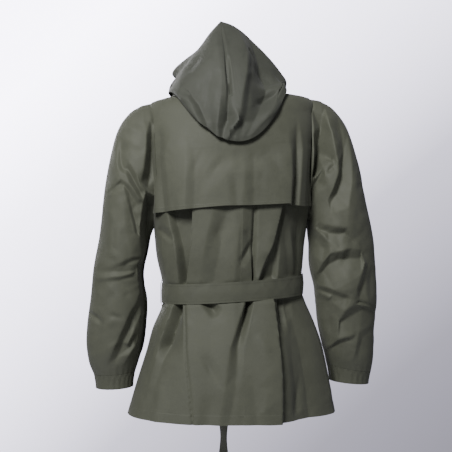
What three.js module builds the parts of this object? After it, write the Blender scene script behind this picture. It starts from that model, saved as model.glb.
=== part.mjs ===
import * as THREE from "three";
import { mergeVertices } from "three/addons/utils/BufferGeometryUtils.js";

// Hooded belted raincoat, in millimetres, +Z up, front towards -Y, the wearer's left towards +X.
// The origin is the middle of the neck base, where the coat hangs on the shoulders.

// Cloth and seams
const WALL = 1.6;
const SEAM = 0.3;
const BELT_WALL = 2.2;
const BELT_HEIGHT = 43;
const BELT_Z = -430;

// Levels of the body
const HEM_Z = -705;
const ARMPIT_Z = -285;
const SHOULDER_TIP_Z = -10;
const NECK_SIDE_Z = 4;
const BACK_NECK_DROP = 116;
const FRONT_NECK_DROP = 72;
const NECK_DROP_POWER = 2.2;
const ARMHOLE_HALF_DEPTH = 62;

// Front overlap, yoke and neckband
const OVERLAP_X = 22;
const UNDERLAP_DEPTH = 3.4;
const YOKE_Z = -250;
const YOKE_EDGE_LIFT = 6;
const BAND_HEIGHT = 15;
const BAND_LEAN = 0.3;
const HOOD_NECK_START = 0.3;

// Hood
const HOOD_SEAM_X = 22;
const HOOD_FRONT_ANGLE = 52;
const HOOD_NECK_SEAM_X = 18;
const HOOD_STAND_OFF = [12, 7];

// How finely the pieces are divided
const SKIRT_ROWS = 15;
const ARMHOLE_ROWS = 12;
const SHOULDER_ROWS = 3;
const BACK_COLUMNS = 13;
const FRONT_COLUMNS = 9;
const HOOD_FRONT_COLUMNS = 5;
const HOOD_BACK_COLUMNS = 9;
const SLEEVE_ROWS = 20;

// Sections of the body: half widths to the wearer's left and right, depths behind and before
// the side seams, squareness, and the slope from side to side
const BODY_SECTIONS = [
  { z: -705, left: 229, right: 238, back: 142, front: 140, square: 2.1, tilt: 0.012 },
  { z: -640, left: 211, right: 225, back: 137, front: 135, square: 2.1, tilt: 0.0 },
  { z: -560, left: 187, right: 207, back: 127, front: 127, square: 2.1, tilt: -0.02 },
  { z: -510, left: 174, right: 188, back: 118, front: 120, square: 2.1, tilt: -0.04 },
  { z: -462, left: 154, right: 166, back: 107, front: 110, square: 2.1, tilt: -0.055 },
  { z: -430, left: 148, right: 158, back: 104, front: 107, square: 2.1, tilt: -0.055 },
  { z: -398, left: 154, right: 162, back: 106, front: 110, square: 2.1, tilt: -0.055 },
  { z: -350, left: 165, right: 166, back: 112, front: 118, square: 2.2, tilt: -0.05 },
  { z: -285, left: 172, right: 174, back: 117, front: 126, square: 2.3, tilt: -0.05 },
  { z: -200, left: 186, right: 186, back: 121, front: 128, square: 2.3, tilt: -0.05 },
  { z: -110, left: 194, right: 194, back: 119, front: 117, square: 2.2, tilt: -0.05 },
  { z: -50, left: 191, right: 191, back: 106, front: 98, square: 2.0, tilt: -0.05 },
  { z: -10, left: 179, right: 179, back: 86, front: 78, square: 1.9, tilt: -0.05 },
  { z: 4, left: 132, right: 115, back: 68, front: 62, square: 1.9, tilt: -0.05 },
];

// Sections of the sleeves from the armhole down: the outer and inner edge, the middle's
// place before or behind the side seams, and the half depth
const LEFT_SLEEVE = [
  { along: 1, outerX: 200, outerZ: -24, innerX: 174, innerZ: -298, y: 0, depth: 66 },
  { along: 2, outerX: 226, outerZ: -41, innerX: 177, innerZ: -305, y: 1, depth: 69 },
  { along: 3, outerX: 250, outerZ: -76, innerX: 180, innerZ: -314, y: 2, depth: 70 },
  { along: 4, outerX: 265, outerZ: -124, innerX: 182, innerZ: -326, y: 3, depth: 70 },
  { along: 5, outerX: 276, outerZ: -180, innerX: 184, innerZ: -340, y: 4, depth: 69 },
  { along: 6, outerX: 283, outerZ: -242, innerX: 187, innerZ: -356, y: 6, depth: 67 },
  { along: 7, outerX: 292, outerZ: -302, innerX: 191, innerZ: -374, y: 7, depth: 66 },
  { along: 8, outerX: 300, outerZ: -356, innerX: 194, innerZ: -396, y: 7, depth: 64 },
  { along: 9, outerX: 307, outerZ: -410, innerX: 193, innerZ: -420, y: 5, depth: 62 },
  { along: 10, outerX: 312, outerZ: -456, innerX: 188, innerZ: -452, y: 2, depth: 61 },
  { along: 11, outerX: 317, outerZ: -504, innerX: 188, innerZ: -498, y: -4, depth: 60 },
  { along: 12, outerX: 320, outerZ: -552, innerX: 193, innerZ: -548, y: -11, depth: 58 },
  { along: 13, outerX: 315, outerZ: -590, innerX: 203, innerZ: -584, y: -17, depth: 53 },
  { along: 14, outerX: 304, outerZ: -618, innerX: 212, innerZ: -612, y: -21, depth: 45 },
];
const RIGHT_SLEEVE = [
  { along: 1, outerX: 204, outerZ: -4, innerX: 177, innerZ: -282, y: 0, depth: 66 },
  { along: 2, outerX: 234, outerZ: -22, innerX: 178, innerZ: -289, y: 1, depth: 70 },
  { along: 3, outerX: 262, outerZ: -58, innerX: 179, innerZ: -298, y: 2, depth: 72 },
  { along: 4, outerX: 282, outerZ: -110, innerX: 180, innerZ: -310, y: 3, depth: 73 },
  { along: 5, outerX: 297, outerZ: -168, innerX: 181, innerZ: -326, y: 5, depth: 73 },
  { along: 6, outerX: 311, outerZ: -238, innerX: 181, innerZ: -346, y: 6, depth: 72 },
  { along: 7, outerX: 325, outerZ: -300, innerX: 181, innerZ: -368, y: 7, depth: 70 },
  { along: 8, outerX: 333, outerZ: -356, innerX: 184, innerZ: -392, y: 7, depth: 68 },
  { along: 9, outerX: 337, outerZ: -410, innerX: 191, innerZ: -420, y: 5, depth: 66 },
  { along: 10, outerX: 338, outerZ: -458, innerX: 197, innerZ: -454, y: 1, depth: 64 },
  { along: 11, outerX: 337, outerZ: -506, innerX: 203, innerZ: -500, y: -7, depth: 60 },
  { along: 12, outerX: 338, outerZ: -560, innerX: 214, innerZ: -548, y: -16, depth: 57 },
  { along: 13, outerX: 338, outerZ: -600, innerX: 225, innerZ: -586, y: -23, depth: 52 },
  { along: 14, outerX: 335, outerZ: -628, innerX: 232, innerZ: -610, y: -28, depth: 46 },
];
const CUFF_HEIGHT = 32;
const CUFF_NARROWING = 0.78;
const CUFF_GATHERS = 22;
const CUFF_GATHER_DEPTH = 2.2;

// The fold of the hood that hangs over the neckband: how far each row stands out from the top of
// the band, and above it, at the front edge, the sides and the back
const HOOD_FOLD = [
  { frontOut: 6, frontUp: 9, sideOut: 5, sideUp: 7, backOut: 9, backUp: 12 },
  { frontOut: 9, frontUp: 15, sideOut: 9, sideUp: 0, backOut: 14, backUp: -5 },
  { frontOut: 11, frontUp: 22, sideOut: 11, sideUp: -6, backOut: 19, backUp: -16 },
];

// Rows of the hood above that fold: heights at the front edge, the sides and the back, half
// widths from the centre seam, depths behind and before the shoulders, and how far the front
// edges turn outwards
const HOOD_ROWS = [
  { front: -12, left: 11, right: 26, back: -104, wideLeft: 117, wideRight: 148, deep: 137, fore: 112, turnLeft: -16, turnRight: -10 },
  { front: 10, left: 26, right: 40, back: -80, wideLeft: 109, wideRight: 148, deep: 137, fore: 98, turnLeft: 2, turnRight: -6 },
  { front: 34, left: 46, right: 58, back: -42, wideLeft: 97, wideRight: 136, deep: 130, fore: 90, turnLeft: 26, turnRight: 0 },
  { front: 60, left: 68, right: 80, back: 0, wideLeft: 81, wideRight: 119, deep: 117, fore: 88, turnLeft: 33, turnRight: 0 },
  { front: 90, left: 94, right: 102, back: 46, wideLeft: 61, wideRight: 98, deep: 99, fore: 88, turnLeft: 24, turnRight: 0 },
  { front: 115, left: 118, right: 125, back: 89, wideLeft: 43, wideRight: 73, deep: 75, fore: 88, turnLeft: 4, turnRight: 0 },
  { front: 139, left: 141, right: 148, back: 124, wideLeft: 27, wideRight: 48, deep: 47, fore: 86, turnLeft: 0, turnRight: 0 },
  { front: 155, left: 158, right: 163, back: 152, wideLeft: 12, wideRight: 25, deep: 24, fore: 84, turnLeft: 0, turnRight: 0 },
  { front: 164, left: 171, right: 171, back: 167, wideLeft: 0, wideRight: 0, deep: 4, fore: 82, turnLeft: 0, turnRight: 0 },
];

// Large creases: a line between two places, how far it spreads and how deep it sinks in
const BACK_CREASES = [
  { x1: 138, z1: -256, x2: 115, z2: -408, spread: 17, depth: 9 },
  { x1: 100, z1: -262, x2: 111, z2: -390, spread: 14, depth: -6 },
  { x1: -109, z1: -250, x2: -83, z2: -400, spread: 15, depth: 7 },
  { x1: -76, z1: -300, x2: -46, z2: -404, spread: 14, depth: -5 },
  { x1: -132, z1: -300, x2: -138, z2: -398, spread: 16, depth: 9 },
  { x1: 0, z1: -290, x2: 38, z2: -324, spread: 16, depth: 5 },
  { x1: -30, z1: -330, x2: -32, z2: -404, spread: 14, depth: 5 },
  { x1: 121, z1: -462, x2: 158, z2: -560, spread: 17, depth: 9 },
  { x1: 113, z1: -470, x2: 102, z2: -720, spread: 20, depth: 9 },
  { x1: 66, z1: -466, x2: 62, z2: -720, spread: 22, depth: -6 },
  { x1: -31, z1: -462, x2: 30, z2: -720, spread: 22, depth: 10 },
  { x1: -20, z1: -520, x2: -34, z2: -720, spread: 24, depth: -7 },
  { x1: -92, z1: -462, x2: -104, z2: -720, spread: 18, depth: 13 },
  { x1: -66, z1: -466, x2: -62, z2: -720, spread: 18, depth: -7 },
  { x1: -150, z1: -490, x2: -176, z2: -720, spread: 22, depth: -7 },
  { x1: 168, z1: -500, x2: 190, z2: -720, spread: 20, depth: -6 },
];
const FRONT_CREASES = [
  { x1: 104, z1: -200, x2: 74, z2: -404, spread: 17, depth: 8 },
  { x1: -112, z1: -230, x2: -80, z2: -404, spread: 16, depth: 8 },
  { x1: -60, z1: -300, x2: -44, z2: -404, spread: 16, depth: 5 },
  { x1: 120, z1: -462, x2: 128, z2: -720, spread: 20, depth: 10 },
  { x1: 74, z1: -464, x2: 86, z2: -720, spread: 22, depth: -7 },
  { x1: -70, z1: -462, x2: -84, z2: -720, spread: 22, depth: 10 },
  { x1: -116, z1: -464, x2: -140, z2: -720, spread: 22, depth: -7 },
];
const LEFT_SLEEVE_CREASES = [
  { x1: 206, z1: -80, x2: 200, z2: -214, spread: 15, depth: 9 },
  { x1: 257, z1: -145, x2: 201, z2: -300, spread: 14, depth: 7 },
  { x1: 303, z1: -396, x2: 205, z2: -391, spread: 13, depth: 8 },
  { x1: 214, z1: -452, x2: 270, z2: -590, spread: 16, depth: 9 },
];
const RIGHT_SLEEVE_CREASES = [
  { x1: -206, z1: -60, x2: -190, z2: -213, spread: 15, depth: 9 },
  { x1: -228, z1: -100, x2: -236, z2: -150, spread: 14, depth: 8 },
  { x1: -272, z1: -141, x2: -251, z2: -290, spread: 15, depth: -6 },
  { x1: -288, z1: -361, x2: -196, z2: -361, spread: 13, depth: 8 },
  { x1: -262, z1: -446, x2: -190, z2: -425, spread: 13, depth: 8 },
  { x1: -313, z1: -469, x2: -240, z2: -518, spread: 14, depth: 8 },
];

// Colours of the cloth and the small fittings
const COLOURS = { cloth: "#5f6054", trim: "#585a4e", snap: "#3c3d36" };

const radians = (degrees) => (degrees * Math.PI) / 180;
const clamp = (value, low, high) => Math.min(high, Math.max(low, value));
const mix = (a, b, share) => a + (b - a) * share;
const smooth = (value, low, high) => {
  const share = clamp((value - low) / (high - low), 0, 1);
  return share * share * (3 - 2 * share);
};

// A row of a table at any place between its rows, as a smooth curve through them
function rowAt(table, key, value) {
  const last = table.length - 1;
  const rising = table[last][key] > table[0][key] ? 1 : -1;
  let i = 0;
  while (i < last - 1 && (value - table[i + 1][key]) * rising > 0) i += 1;
  const [before, from, to, after] = [i - 1, i, i + 1, i + 2].map((k) => table[clamp(k, 0, last)]);
  const step = to[key] - from[key];
  const t = clamp((value - from[key]) / step, 0, 1);
  const row = {};
  for (const name of Object.keys(from)) {
    const slopeIn = from === before ? to[name] - from[name]
      : ((to[name] - before[name]) * step) / (to[key] - before[key]);
    const slopeOut = to === after ? to[name] - from[name]
      : ((after[name] - from[name]) * step) / (after[key] - from[key]);
    row[name] = from[name] * (2 * t ** 3 - 3 * t ** 2 + 1) + slopeIn * (t ** 3 - 2 * t ** 2 + t)
      + to[name] * (3 * t ** 2 - 2 * t ** 3) + slopeOut * (t ** 3 - t ** 2);
  }
  return row;
}

// How far the creases of a table sink the cloth at a place
function creaseDepth(creases, x, z) {
  let depth = 0;
  for (const c of creases) {
    const [dx, dz] = [c.x2 - c.x1, c.z2 - c.z1];
    const t = clamp(((x - c.x1) * dx + (z - c.z1) * dz) / (dx * dx + dz * dz), 0, 1);
    const away = Math.hypot(x - c.x1 - t * dx, z - c.z1 - t * dz) / c.spread;
    depth += c.depth * Math.exp(-away * away);
  }
  return depth;
}

// Half width of the body on one side, and its depth behind (face 1) or before (face -1)
const halfWidth = (section, side) => (side > 0 ? section.left : section.right);
const fullDepth = (section, face) => (face > 0 ? section.back : section.front);

// Where the smooth body lies at a height and a distance from the centre
function smoothBody(x, z, face) {
  const section = rowAt(BODY_SECTIONS, "z", z);
  const share = clamp(Math.abs(x) / halfWidth(section, Math.sign(x) || 1), 0, 1);
  const y = face * fullDepth(section, face) * (1 - share ** section.square) ** (1 / section.square);
  return { x, y, z: z + section.tilt * x };
}

// The cloth of the body with its creases, which fade at the belt, the side seams and armholes
function bodyPoint(x, z, face, fade = 1) {
  const p = smoothBody(x, z, face);
  const creases = face > 0 ? BACK_CREASES : FRONT_CREASES;
  const waist = smooth(Math.abs(z - BELT_Z), BELT_HEIGHT / 2 + 1, BELT_HEIGHT / 2 + 26);
  const sides = smooth(Math.abs(p.y), 4, 34);
  const sunk = creaseDepth(creases, x, z) * waist * sides * fade;
  const section = rowAt(BODY_SECTIONS, "z", z);
  const nx = x / halfWidth(section, Math.sign(x) || 1) ** 2;
  const ny = p.y / fullDepth(section, face) ** 2;
  const length = Math.hypot(nx, ny) || 1;
  return new THREE.Vector3(p.x - (sunk * nx) / length, p.y - (sunk * ny) / length, p.z);
}

// The armhole seam, turned by an angle from the shoulder tip over the back to the armpit
function armholePoint(side, angle) {
  const z = mix(ARMPIT_Z, SHOULDER_TIP_Z, (1 + Math.cos(angle)) / 2);
  const y = ARMHOLE_HALF_DEPTH * Math.sin(angle);
  const face = Math.sin(angle) >= 0 ? 1 : -1;
  const section = rowAt(BODY_SECTIONS, "z", z);
  const share = clamp(Math.abs(y) / fullDepth(section, face), 0, 1);
  const x = side * halfWidth(section, side) * (1 - share ** section.square) ** (1 / section.square);
  return { x, z };
}

// The outer edge of a panel at a height: side seam, armhole or shoulder seam
function panelEdgeX(side, z, face) {
  if (z <= ARMPIT_Z || z >= SHOULDER_TIP_Z) {
    return halfWidth(rowAt(BODY_SECTIONS, "z", z), side);
  }
  const turn = Math.acos(clamp((2 * (z - ARMPIT_Z)) / (SHOULDER_TIP_Z - ARMPIT_Z) - 1, -1, 1));
  return Math.abs(armholePoint(side, face * turn).x);
}

// A panel's cloth: across from -1 to 1 between its outer edges, and the level of its edge.
// Above the armpits the levels bend down towards the neckline.
function panelPoint(across, level, face, fade = 1) {
  const side = across < 0 ? -1 : 1;
  const drop = (face > 0 ? BACK_NECK_DROP : FRONT_NECK_DROP)
    * Math.cos(radians(90 * across)) ** NECK_DROP_POWER;
  const share = clamp((level - ARMPIT_Z) / (NECK_SIDE_Z - ARMPIT_Z), 0, 1);
  const z = level - share * drop;
  const x = panelEdgeX(side, level, face) * Math.sin(radians(90 * across));
  return bodyPoint(x, z, face, fade * (1 - share * smooth(Math.abs(across), 0.6, 1)));
}

// Levels of the rows of a panel, from the hem to the neck
function panelLevels() {
  const levels = [];
  for (let i = 0; i < SKIRT_ROWS; i += 1) levels.push(mix(HEM_Z, ARMPIT_Z, i / SKIRT_ROWS));
  for (let i = 0; i < ARMHOLE_ROWS; i += 1) {
    const turn = Math.PI * (1 - i / ARMHOLE_ROWS);
    levels.push(mix(ARMPIT_Z, SHOULDER_TIP_Z, (1 + Math.cos(turn)) / 2));
  }
  for (let i = 0; i <= SHOULDER_ROWS; i += 1) {
    levels.push(mix(SHOULDER_TIP_Z, NECK_SIDE_Z, i / SHOULDER_ROWS));
  }
  return levels;
}

// The outward direction of a grid of points at one of them
function gridNormal(grid, i, j, closed) {
  const [rows, columns] = [grid.length, grid[0].length];
  const left = closed ? (j + columns - 1) % columns : Math.max(j - 1, 0);
  const right = closed ? (j + 1) % columns : Math.min(j + 1, columns - 1);
  const across = grid[i][right].clone().sub(grid[i][left]);
  const along = grid[Math.min(i + 1, rows - 1)][j].clone().sub(grid[Math.max(i - 1, 0)][j]);
  return across.cross(along).normalize();
}

// A closed wall of cloth from a grid of outer points, one row after the other. The wall grows
// to the inner side, and settle may turn the direction of its edge points.
function wallGeometry(grid, { thickness = WALL, closed = false, flip = false, settle = null } = {}) {
  const [rows, columns] = [grid.length, grid[0].length];
  const positions = [];
  const sign = flip ? -1 : 1;
  for (const row of grid) for (const p of row) positions.push(p.x, p.y, p.z);
  for (let i = 0; i < rows; i += 1) {
    for (let j = 0; j < columns; j += 1) {
      const inward = gridNormal(grid, i, j, closed).multiplyScalar(-sign);
      if (settle) settle(inward, i, j, grid[i][j]);
      const p = grid[i][j].clone().addScaledVector(inward.normalize(), thickness);
      positions.push(p.x, p.y, p.z);
    }
  }
  const index = [];
  const inner = rows * columns;
  const quad = (a, b, c, d) => {
    if (flip) index.push(a, c, b, a, d, c);
    else index.push(a, b, c, a, c, d);
  };
  const spans = closed ? columns : columns - 1;
  for (let i = 0; i < rows - 1; i += 1) {
    for (let j = 0; j < spans; j += 1) {
      const k = (j + 1) % columns;
      const [a, b, c, d] = [i * columns + j, i * columns + k, (i + 1) * columns + k, (i + 1) * columns + j];
      quad(a, b, c, d);
      quad(inner + d, inner + c, inner + b, inner + a);
    }
  }
  for (let j = 0; j < spans; j += 1) {
    const k = (j + 1) % columns;
    const top = (rows - 1) * columns;
    quad(inner + j, inner + k, k, j);
    quad(top + j, top + k, inner + top + k, inner + top + j);
  }
  if (!closed) {
    for (let i = 0; i < rows - 1; i += 1) {
      const [a, b] = [i * columns, (i + 1) * columns];
      quad(a, b, inner + b, inner + a);
      quad(inner + a + columns - 1, inner + b + columns - 1, b + columns - 1, a + columns - 1);
    }
  }
  const geometry = new THREE.BufferGeometry();
  geometry.setAttribute("position", new THREE.Float32BufferAttribute(positions, 3));
  geometry.setIndex(index);
  return mergeVertices(geometry, 1e-4);
}

function piece(name, geometry, colour) {
  const material = new THREE.MeshStandardMaterial({ color: colour, roughness: 0.75, metalness: 0 });
  const mesh = new THREE.Mesh(geometry, material);
  mesh.name = name;
  return mesh;
}

// One half of the back, from the centre-back seam to the side seam, armhole and shoulder seam
function backHalf(name, side) {
  const levels = panelLevels();
  const grid = levels.map((level) => {
    const row = [];
    for (let j = 0; j <= BACK_COLUMNS; j += 1) {
      const p = panelPoint((side * j) / BACK_COLUMNS, level, 1);
      p.x = j === 0 ? 0 : p.x;
      row.push(p.add(new THREE.Vector3((side * SEAM) / 2, SEAM / 2, 0)));
    }
    return row;
  });
  const settle = (inward, i, j) => {
    if (j === 0) inward.x = 0;
    if (j === BACK_COLUMNS && (levels[i] <= ARMPIT_Z || levels[i] >= SHOULDER_TIP_Z)) inward.y = 0;
  };
  return piece(name, wallGeometry(grid, { flip: side > 0, settle }), COLOURS.cloth);
}

// How far the wearer's left front and its neck edge lie behind the right front near the centre
const underlap = (x) => UNDERLAP_DEPTH * (1 - smooth(x, OVERLAP_X + 4, OVERLAP_X + 50));

// One front, which runs past the centre. The left one lies under the right one.
function frontHalf(name, side) {
  const levels = panelLevels();
  const grid = levels.map((level) => {
    const edge = panelEdgeX(side, level, -1);
    const first = -Math.asin(OVERLAP_X / edge) / radians(90);
    const row = [];
    for (let j = 0; j <= FRONT_COLUMNS; j += 1) {
      const across = mix(first, 1, j / FRONT_COLUMNS);
      const p = panelPoint(side * across, level, -1);
      const under = side > 0 ? underlap(p.x) : 0;
      row.push(p.add(new THREE.Vector3((side * SEAM) / 2, under - SEAM / 2, 0)));
    }
    return row;
  });
  const settle = (inward, i, j) => {
    if (j === FRONT_COLUMNS && (levels[i] <= ARMPIT_Z || levels[i] >= SHOULDER_TIP_Z)) inward.y = 0;
  };
  return piece(name, wallGeometry(grid, { flip: side < 0, settle }), COLOURS.cloth);
}

// A grid moved out along its own outward directions, by a distance for each row
function movedOut(grid, distance, flip) {
  const sign = flip ? -1 : 1;
  return grid.map((row, i) => row.map((p, j) => (
    p.clone().addScaledVector(gridNormal(grid, i, j, false), sign * distance(i))
  )));
}

// The loose flap over the upper back: the back's own points moved out, more so at its free edge
function backYoke() {
  const levels = panelLevels().filter((level) => level >= ARMPIT_Z);
  const rows = levels.length - 1;
  const grid = [];
  for (let i = 0; i <= rows; i += 1) {
    const height = Math.min((levels[i] - ARMPIT_Z) / (NECK_SIDE_Z - ARMPIT_Z), 0.99);
    const row = [];
    for (let j = 1 - BACK_COLUMNS; j <= BACK_COLUMNS - 1; j += 1) {
      const across = j / BACK_COLUMNS;
      const drop = BACK_NECK_DROP * Math.cos(radians(90 * across)) ** NECK_DROP_POWER;
      const low = (YOKE_Z - ARMPIT_Z) / (NECK_SIDE_Z - drop - ARMPIT_Z);
      const level = mix(ARMPIT_Z, NECK_SIDE_Z, mix(low, 1, height));
      row.push(panelPoint(across, level, 1));
    }
    grid.push(row);
  }
  const lift = (i) => 2 * SEAM + WALL + 0.4 + YOKE_EDGE_LIFT * (1 - i / rows) ** 2;
  return piece("back_yoke", wallGeometry(movedOut(grid, lift, true), { flip: true }), COLOURS.cloth);
}

// A point of the neck edge, raised by the neckband, and the band's upward direction there
function neckEdge(across, face, raise) {
  const p = panelPoint(across, NECK_SIDE_Z, face, 0);
  const out = new THREE.Vector3(p.x, p.y, 0).normalize();
  const up = new THREE.Vector3(-out.x * BAND_LEAN, -out.y * BAND_LEAN, 1).normalize();
  return p.addScaledVector(up, raise);
}

// Places round half the neck edge, from near the centre front round the side to the hood's seam
function neckPlaces(side) {
  const seamAcross = Math.asin(HOOD_NECK_SEAM_X / 130) / radians(90);
  const places = [];
  for (let j = 0; j <= HOOD_FRONT_COLUMNS; j += 1) {
    places.push({ across: side * mix(HOOD_NECK_START, 1, j / HOOD_FRONT_COLUMNS), face: -1 });
  }
  for (let j = 1; j <= HOOD_BACK_COLUMNS; j += 1) {
    places.push({ across: mix(side, seamAcross, j / HOOD_BACK_COLUMNS), face: 1 });
  }
  return places;
}

// The narrow band round the neck, from the overlap round the back to the other front
function neckband() {
  const past = Math.asin(OVERLAP_X / 125) / radians(90);
  const [left, right] = [neckPlaces(1), neckPlaces(-1).reverse()];
  const [under, over] = [[-past, 0], [0, past]].map((end) => end.map((across) => ({ across, face: -1 })));
  const places = [...under, ...left, ...right.slice(1), ...over];
  const grid = [3 * SEAM, BAND_HEIGHT / 2, BAND_HEIGHT].map((raise) => places.map(({ across, face }, j) => {
    const p = neckEdge(across, face, raise);
    const lapped = j < under.length + HOOD_FRONT_COLUMNS;
    return p.add(new THREE.Vector3(0, lapped ? underlap(p.x) : 0, 0));
  }));
  return piece("neckband", wallGeometry(grid, { flip: true }), COLOURS.trim);
}

// A tube of cloth along the sections of a sleeve
function sleeveRing(sections, side, along, round) {
  const s = rowAt(sections, "along", along);
  const ring = [];
  for (let j = 0; j < round; j += 1) {
    const angle = (2 * Math.PI * j) / round;
    const [cos, sin] = [Math.cos(angle), Math.sin(angle)];
    const x = side * ((s.outerX + s.innerX) / 2 + ((s.outerX - s.innerX) / 2) * cos);
    const z = (s.outerZ + s.innerZ) / 2 + ((s.outerZ - s.innerZ) / 2) * cos;
    ring.push(new THREE.Vector3(x, s.y + s.depth * sin, z));
  }
  return ring;
}

function sleeve(name, side) {
  const round = 2 * ARMHOLE_ROWS;
  const [sections, creases] = side > 0
    ? [LEFT_SLEEVE, LEFT_SLEEVE_CREASES] : [RIGHT_SLEEVE, RIGHT_SLEEVE_CREASES];
  const armhole = [];
  for (let j = 0; j < round; j += 1) {
    const turn = (2 * Math.PI * j) / round;
    const { x, z } = armholePoint(side, turn);
    const p = bodyPoint(x, z, Math.sin(turn) >= 0 ? 1 : -1, 0);
    armhole.push(p.add(new THREE.Vector3(side * 1.5 * SEAM, 0, 0)));
  }
  const grid = [armhole];
  const last = sections[sections.length - 1].along;
  for (let i = 0; i < SLEEVE_ROWS; i += 1) {
    const along = mix(1, last, i / (SLEEVE_ROWS - 1));
    const ring = sleeveRing(sections, side, along, round);
    const middle = ring.reduce((sum, p) => sum.add(p), new THREE.Vector3()).divideScalar(round);
    const fade = smooth(i, -1, 3) * (1 - smooth(i, SLEEVE_ROWS - 5, SLEEVE_ROWS - 2));
    for (const p of ring) {
      const behind = smooth((p.y - middle.y) / 40, 0, 1);
      const inward = middle.clone().sub(p).normalize();
      p.addScaledVector(inward, creaseDepth(creases, p.x, p.z) * behind * fade);
    }
    grid.push(ring);
  }
  const settle = (inward, i) => {
    if (i === 0) inward.x = 0;
  };
  return piece(name, wallGeometry(grid, { closed: true, flip: side > 0, settle }), COLOURS.cloth);
}

// The elastic end of a sleeve, gathered into small waves
function cuff(name, side) {
  const sections = side > 0 ? LEFT_SLEEVE : RIGHT_SLEEVE;
  const last = sections[sections.length - 1];
  const round = 2 * CUFF_GATHERS;
  const start = sleeveRing(sections, side, last.along, round);
  const middle = start.reduce((sum, p) => sum.add(p), new THREE.Vector3()).divideScalar(round);
  const grid = [0, 0.3, 0.65, 1].map((t) => start.map((p, j) => {
    const shrink = mix(1, CUFF_NARROWING, Math.sin((t * Math.PI) / 2));
    const wave = (j % 2 === 0 ? 1 : -1) * CUFF_GATHER_DEPTH * Math.sin(Math.min(t, 0.75) * Math.PI);
    const out = p.clone().sub(middle);
    const level = out.z * (1 - 0.5 * t);
    out.z = 0;
    out.setLength(out.length() * shrink + wave);
    return new THREE.Vector3(middle.x + out.x, middle.y + out.y,
      middle.z + level - 2 * SEAM - CUFF_HEIGHT * t);
  }));
  const settle = (inward, i) => {
    if (i === 0) inward.z = 0;
  };
  return piece(name, wallGeometry(grid, { closed: true, flip: side > 0, settle }), COLOURS.trim);
}

// A place of the fold that hangs over the neckband, from the hood's neck edge
function hoodFoldPoint(fold, neck, angle) {
  const share = angle < 0
    ? (Math.sin(radians(angle)) / Math.sin(radians(HOOD_FRONT_ANGLE))) ** 2
    : Math.sin(radians(angle)) ** 2;
  const out = mix(fold.sideOut, angle < 0 ? fold.frontOut : fold.backOut, share);
  const up = mix(fold.sideUp, angle < 0 ? fold.frontUp : fold.backUp, share);
  const away = new THREE.Vector3(neck.x, neck.y, 0).normalize().multiplyScalar(out);
  return neck.clone().add(away).add(new THREE.Vector3(0, 0, up));
}

// A place of the hood above the fold, at an angle from the side: the front edge is below zero
// and the centre seam at 90
function hoodPoint(row, side, angle, share) {
  const [cos, sin] = [Math.cos(radians(angle)), Math.sin(radians(angle))];
  const [wide, level, turn] = side > 0
    ? [row.wideLeft, row.left, row.turnLeft] : [row.wideRight, row.right, row.turnRight];
  const square = mix(0.8, 1, smooth(share, 0.1, 0.5));
  const out = wide * Math.max(cos, 0) ** square + turn * smooth(-angle, 0, HOOD_FRONT_ANGLE) + SEAM / 2;
  if (angle < 0) {
    const forward = sin / Math.sin(radians(HOOD_FRONT_ANGLE));
    return new THREE.Vector3(HOOD_SEAM_X + side * out, sin * row.fore, mix(level, row.front, forward ** 2));
  }
  const z = mix(level, row.back, sin ** mix(2.6, 2, smooth(share, 0.1, 0.5)));
  return new THREE.Vector3(HOOD_SEAM_X + side * out, row.deep * sin ** square, z);
}

// One half of the hood: from the neckband out into its low fold, then up to the ridge. Each row
// runs from the front edge round the side to the centre seam.
function hoodHalf(name, side) {
  const angles = [];
  for (let j = 0; j < HOOD_FRONT_COLUMNS; j += 1) angles.push(-HOOD_FRONT_ANGLE * (1 - j / HOOD_FRONT_COLUMNS));
  for (let j = 0; j <= HOOD_BACK_COLUMNS; j += 1) angles.push((90 * j) / HOOD_BACK_COLUMNS);
  const neck = neckPlaces(side).map(({ across, face }) => {
    const p = neckEdge(across, face, BAND_HEIGHT + 2 * SEAM);
    return p.add(new THREE.Vector3((side * SEAM) / 2, side > 0 && face < 0 ? underlap(p.x) : 0, 0));
  });
  const grid = [neck];
  for (const fold of HOOD_FOLD) grid.push(neck.map((p, j) => hoodFoldPoint(fold, p, angles[j])));
  HOOD_ROWS.forEach((row, i) => {
    grid.push(angles.map((angle, j) => {
      const p = hoodPoint(row, side, angle, i / (HOOD_ROWS.length - 1));
      const stand = angle < 0 ? HOOD_STAND_OFF[i] ?? 0 : 0;
      const least = stand > 0 ? Math.hypot(neck[j].x, neck[j].y) + stand : 0;
      const outward = Math.max(least / Math.hypot(p.x, p.y), 1);
      return p.multiply(new THREE.Vector3(outward, outward, 1));
    }));
  });
  const settle = (inward, i, j) => {
    if (i === 0) inward.set(0, 0, 1);
    if (j === angles.length - 1 || i === grid.length - 1) inward.x = 0;
  };
  return piece(name, wallGeometry(grid, { flip: side < 0, settle }), COLOURS.cloth);
}

// A point of the belt's outer face: an angle round the waist from the back, and a height
function beltPoint(angle, z, lift) {
  const section = rowAt(BODY_SECTIONS, "z", BELT_Z);
  const [cos, sin] = [Math.cos(angle), Math.sin(angle)];
  const power = 2 / section.square;
  const side = sin >= 0 ? 1 : -1;
  const x = (halfWidth(section, side) + lift) * side * Math.abs(sin) ** power;
  const face = cos >= 0 ? 1 : -1;
  const y = (fullDepth(section, face) + lift) * face * Math.abs(cos) ** power;
  return new THREE.Vector3(x, y, z + section.tilt * x);
}

// Room that the cloth needs under the belt, where it is drawn in
const BELT_LIFT = 5 + BELT_WALL;

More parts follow.
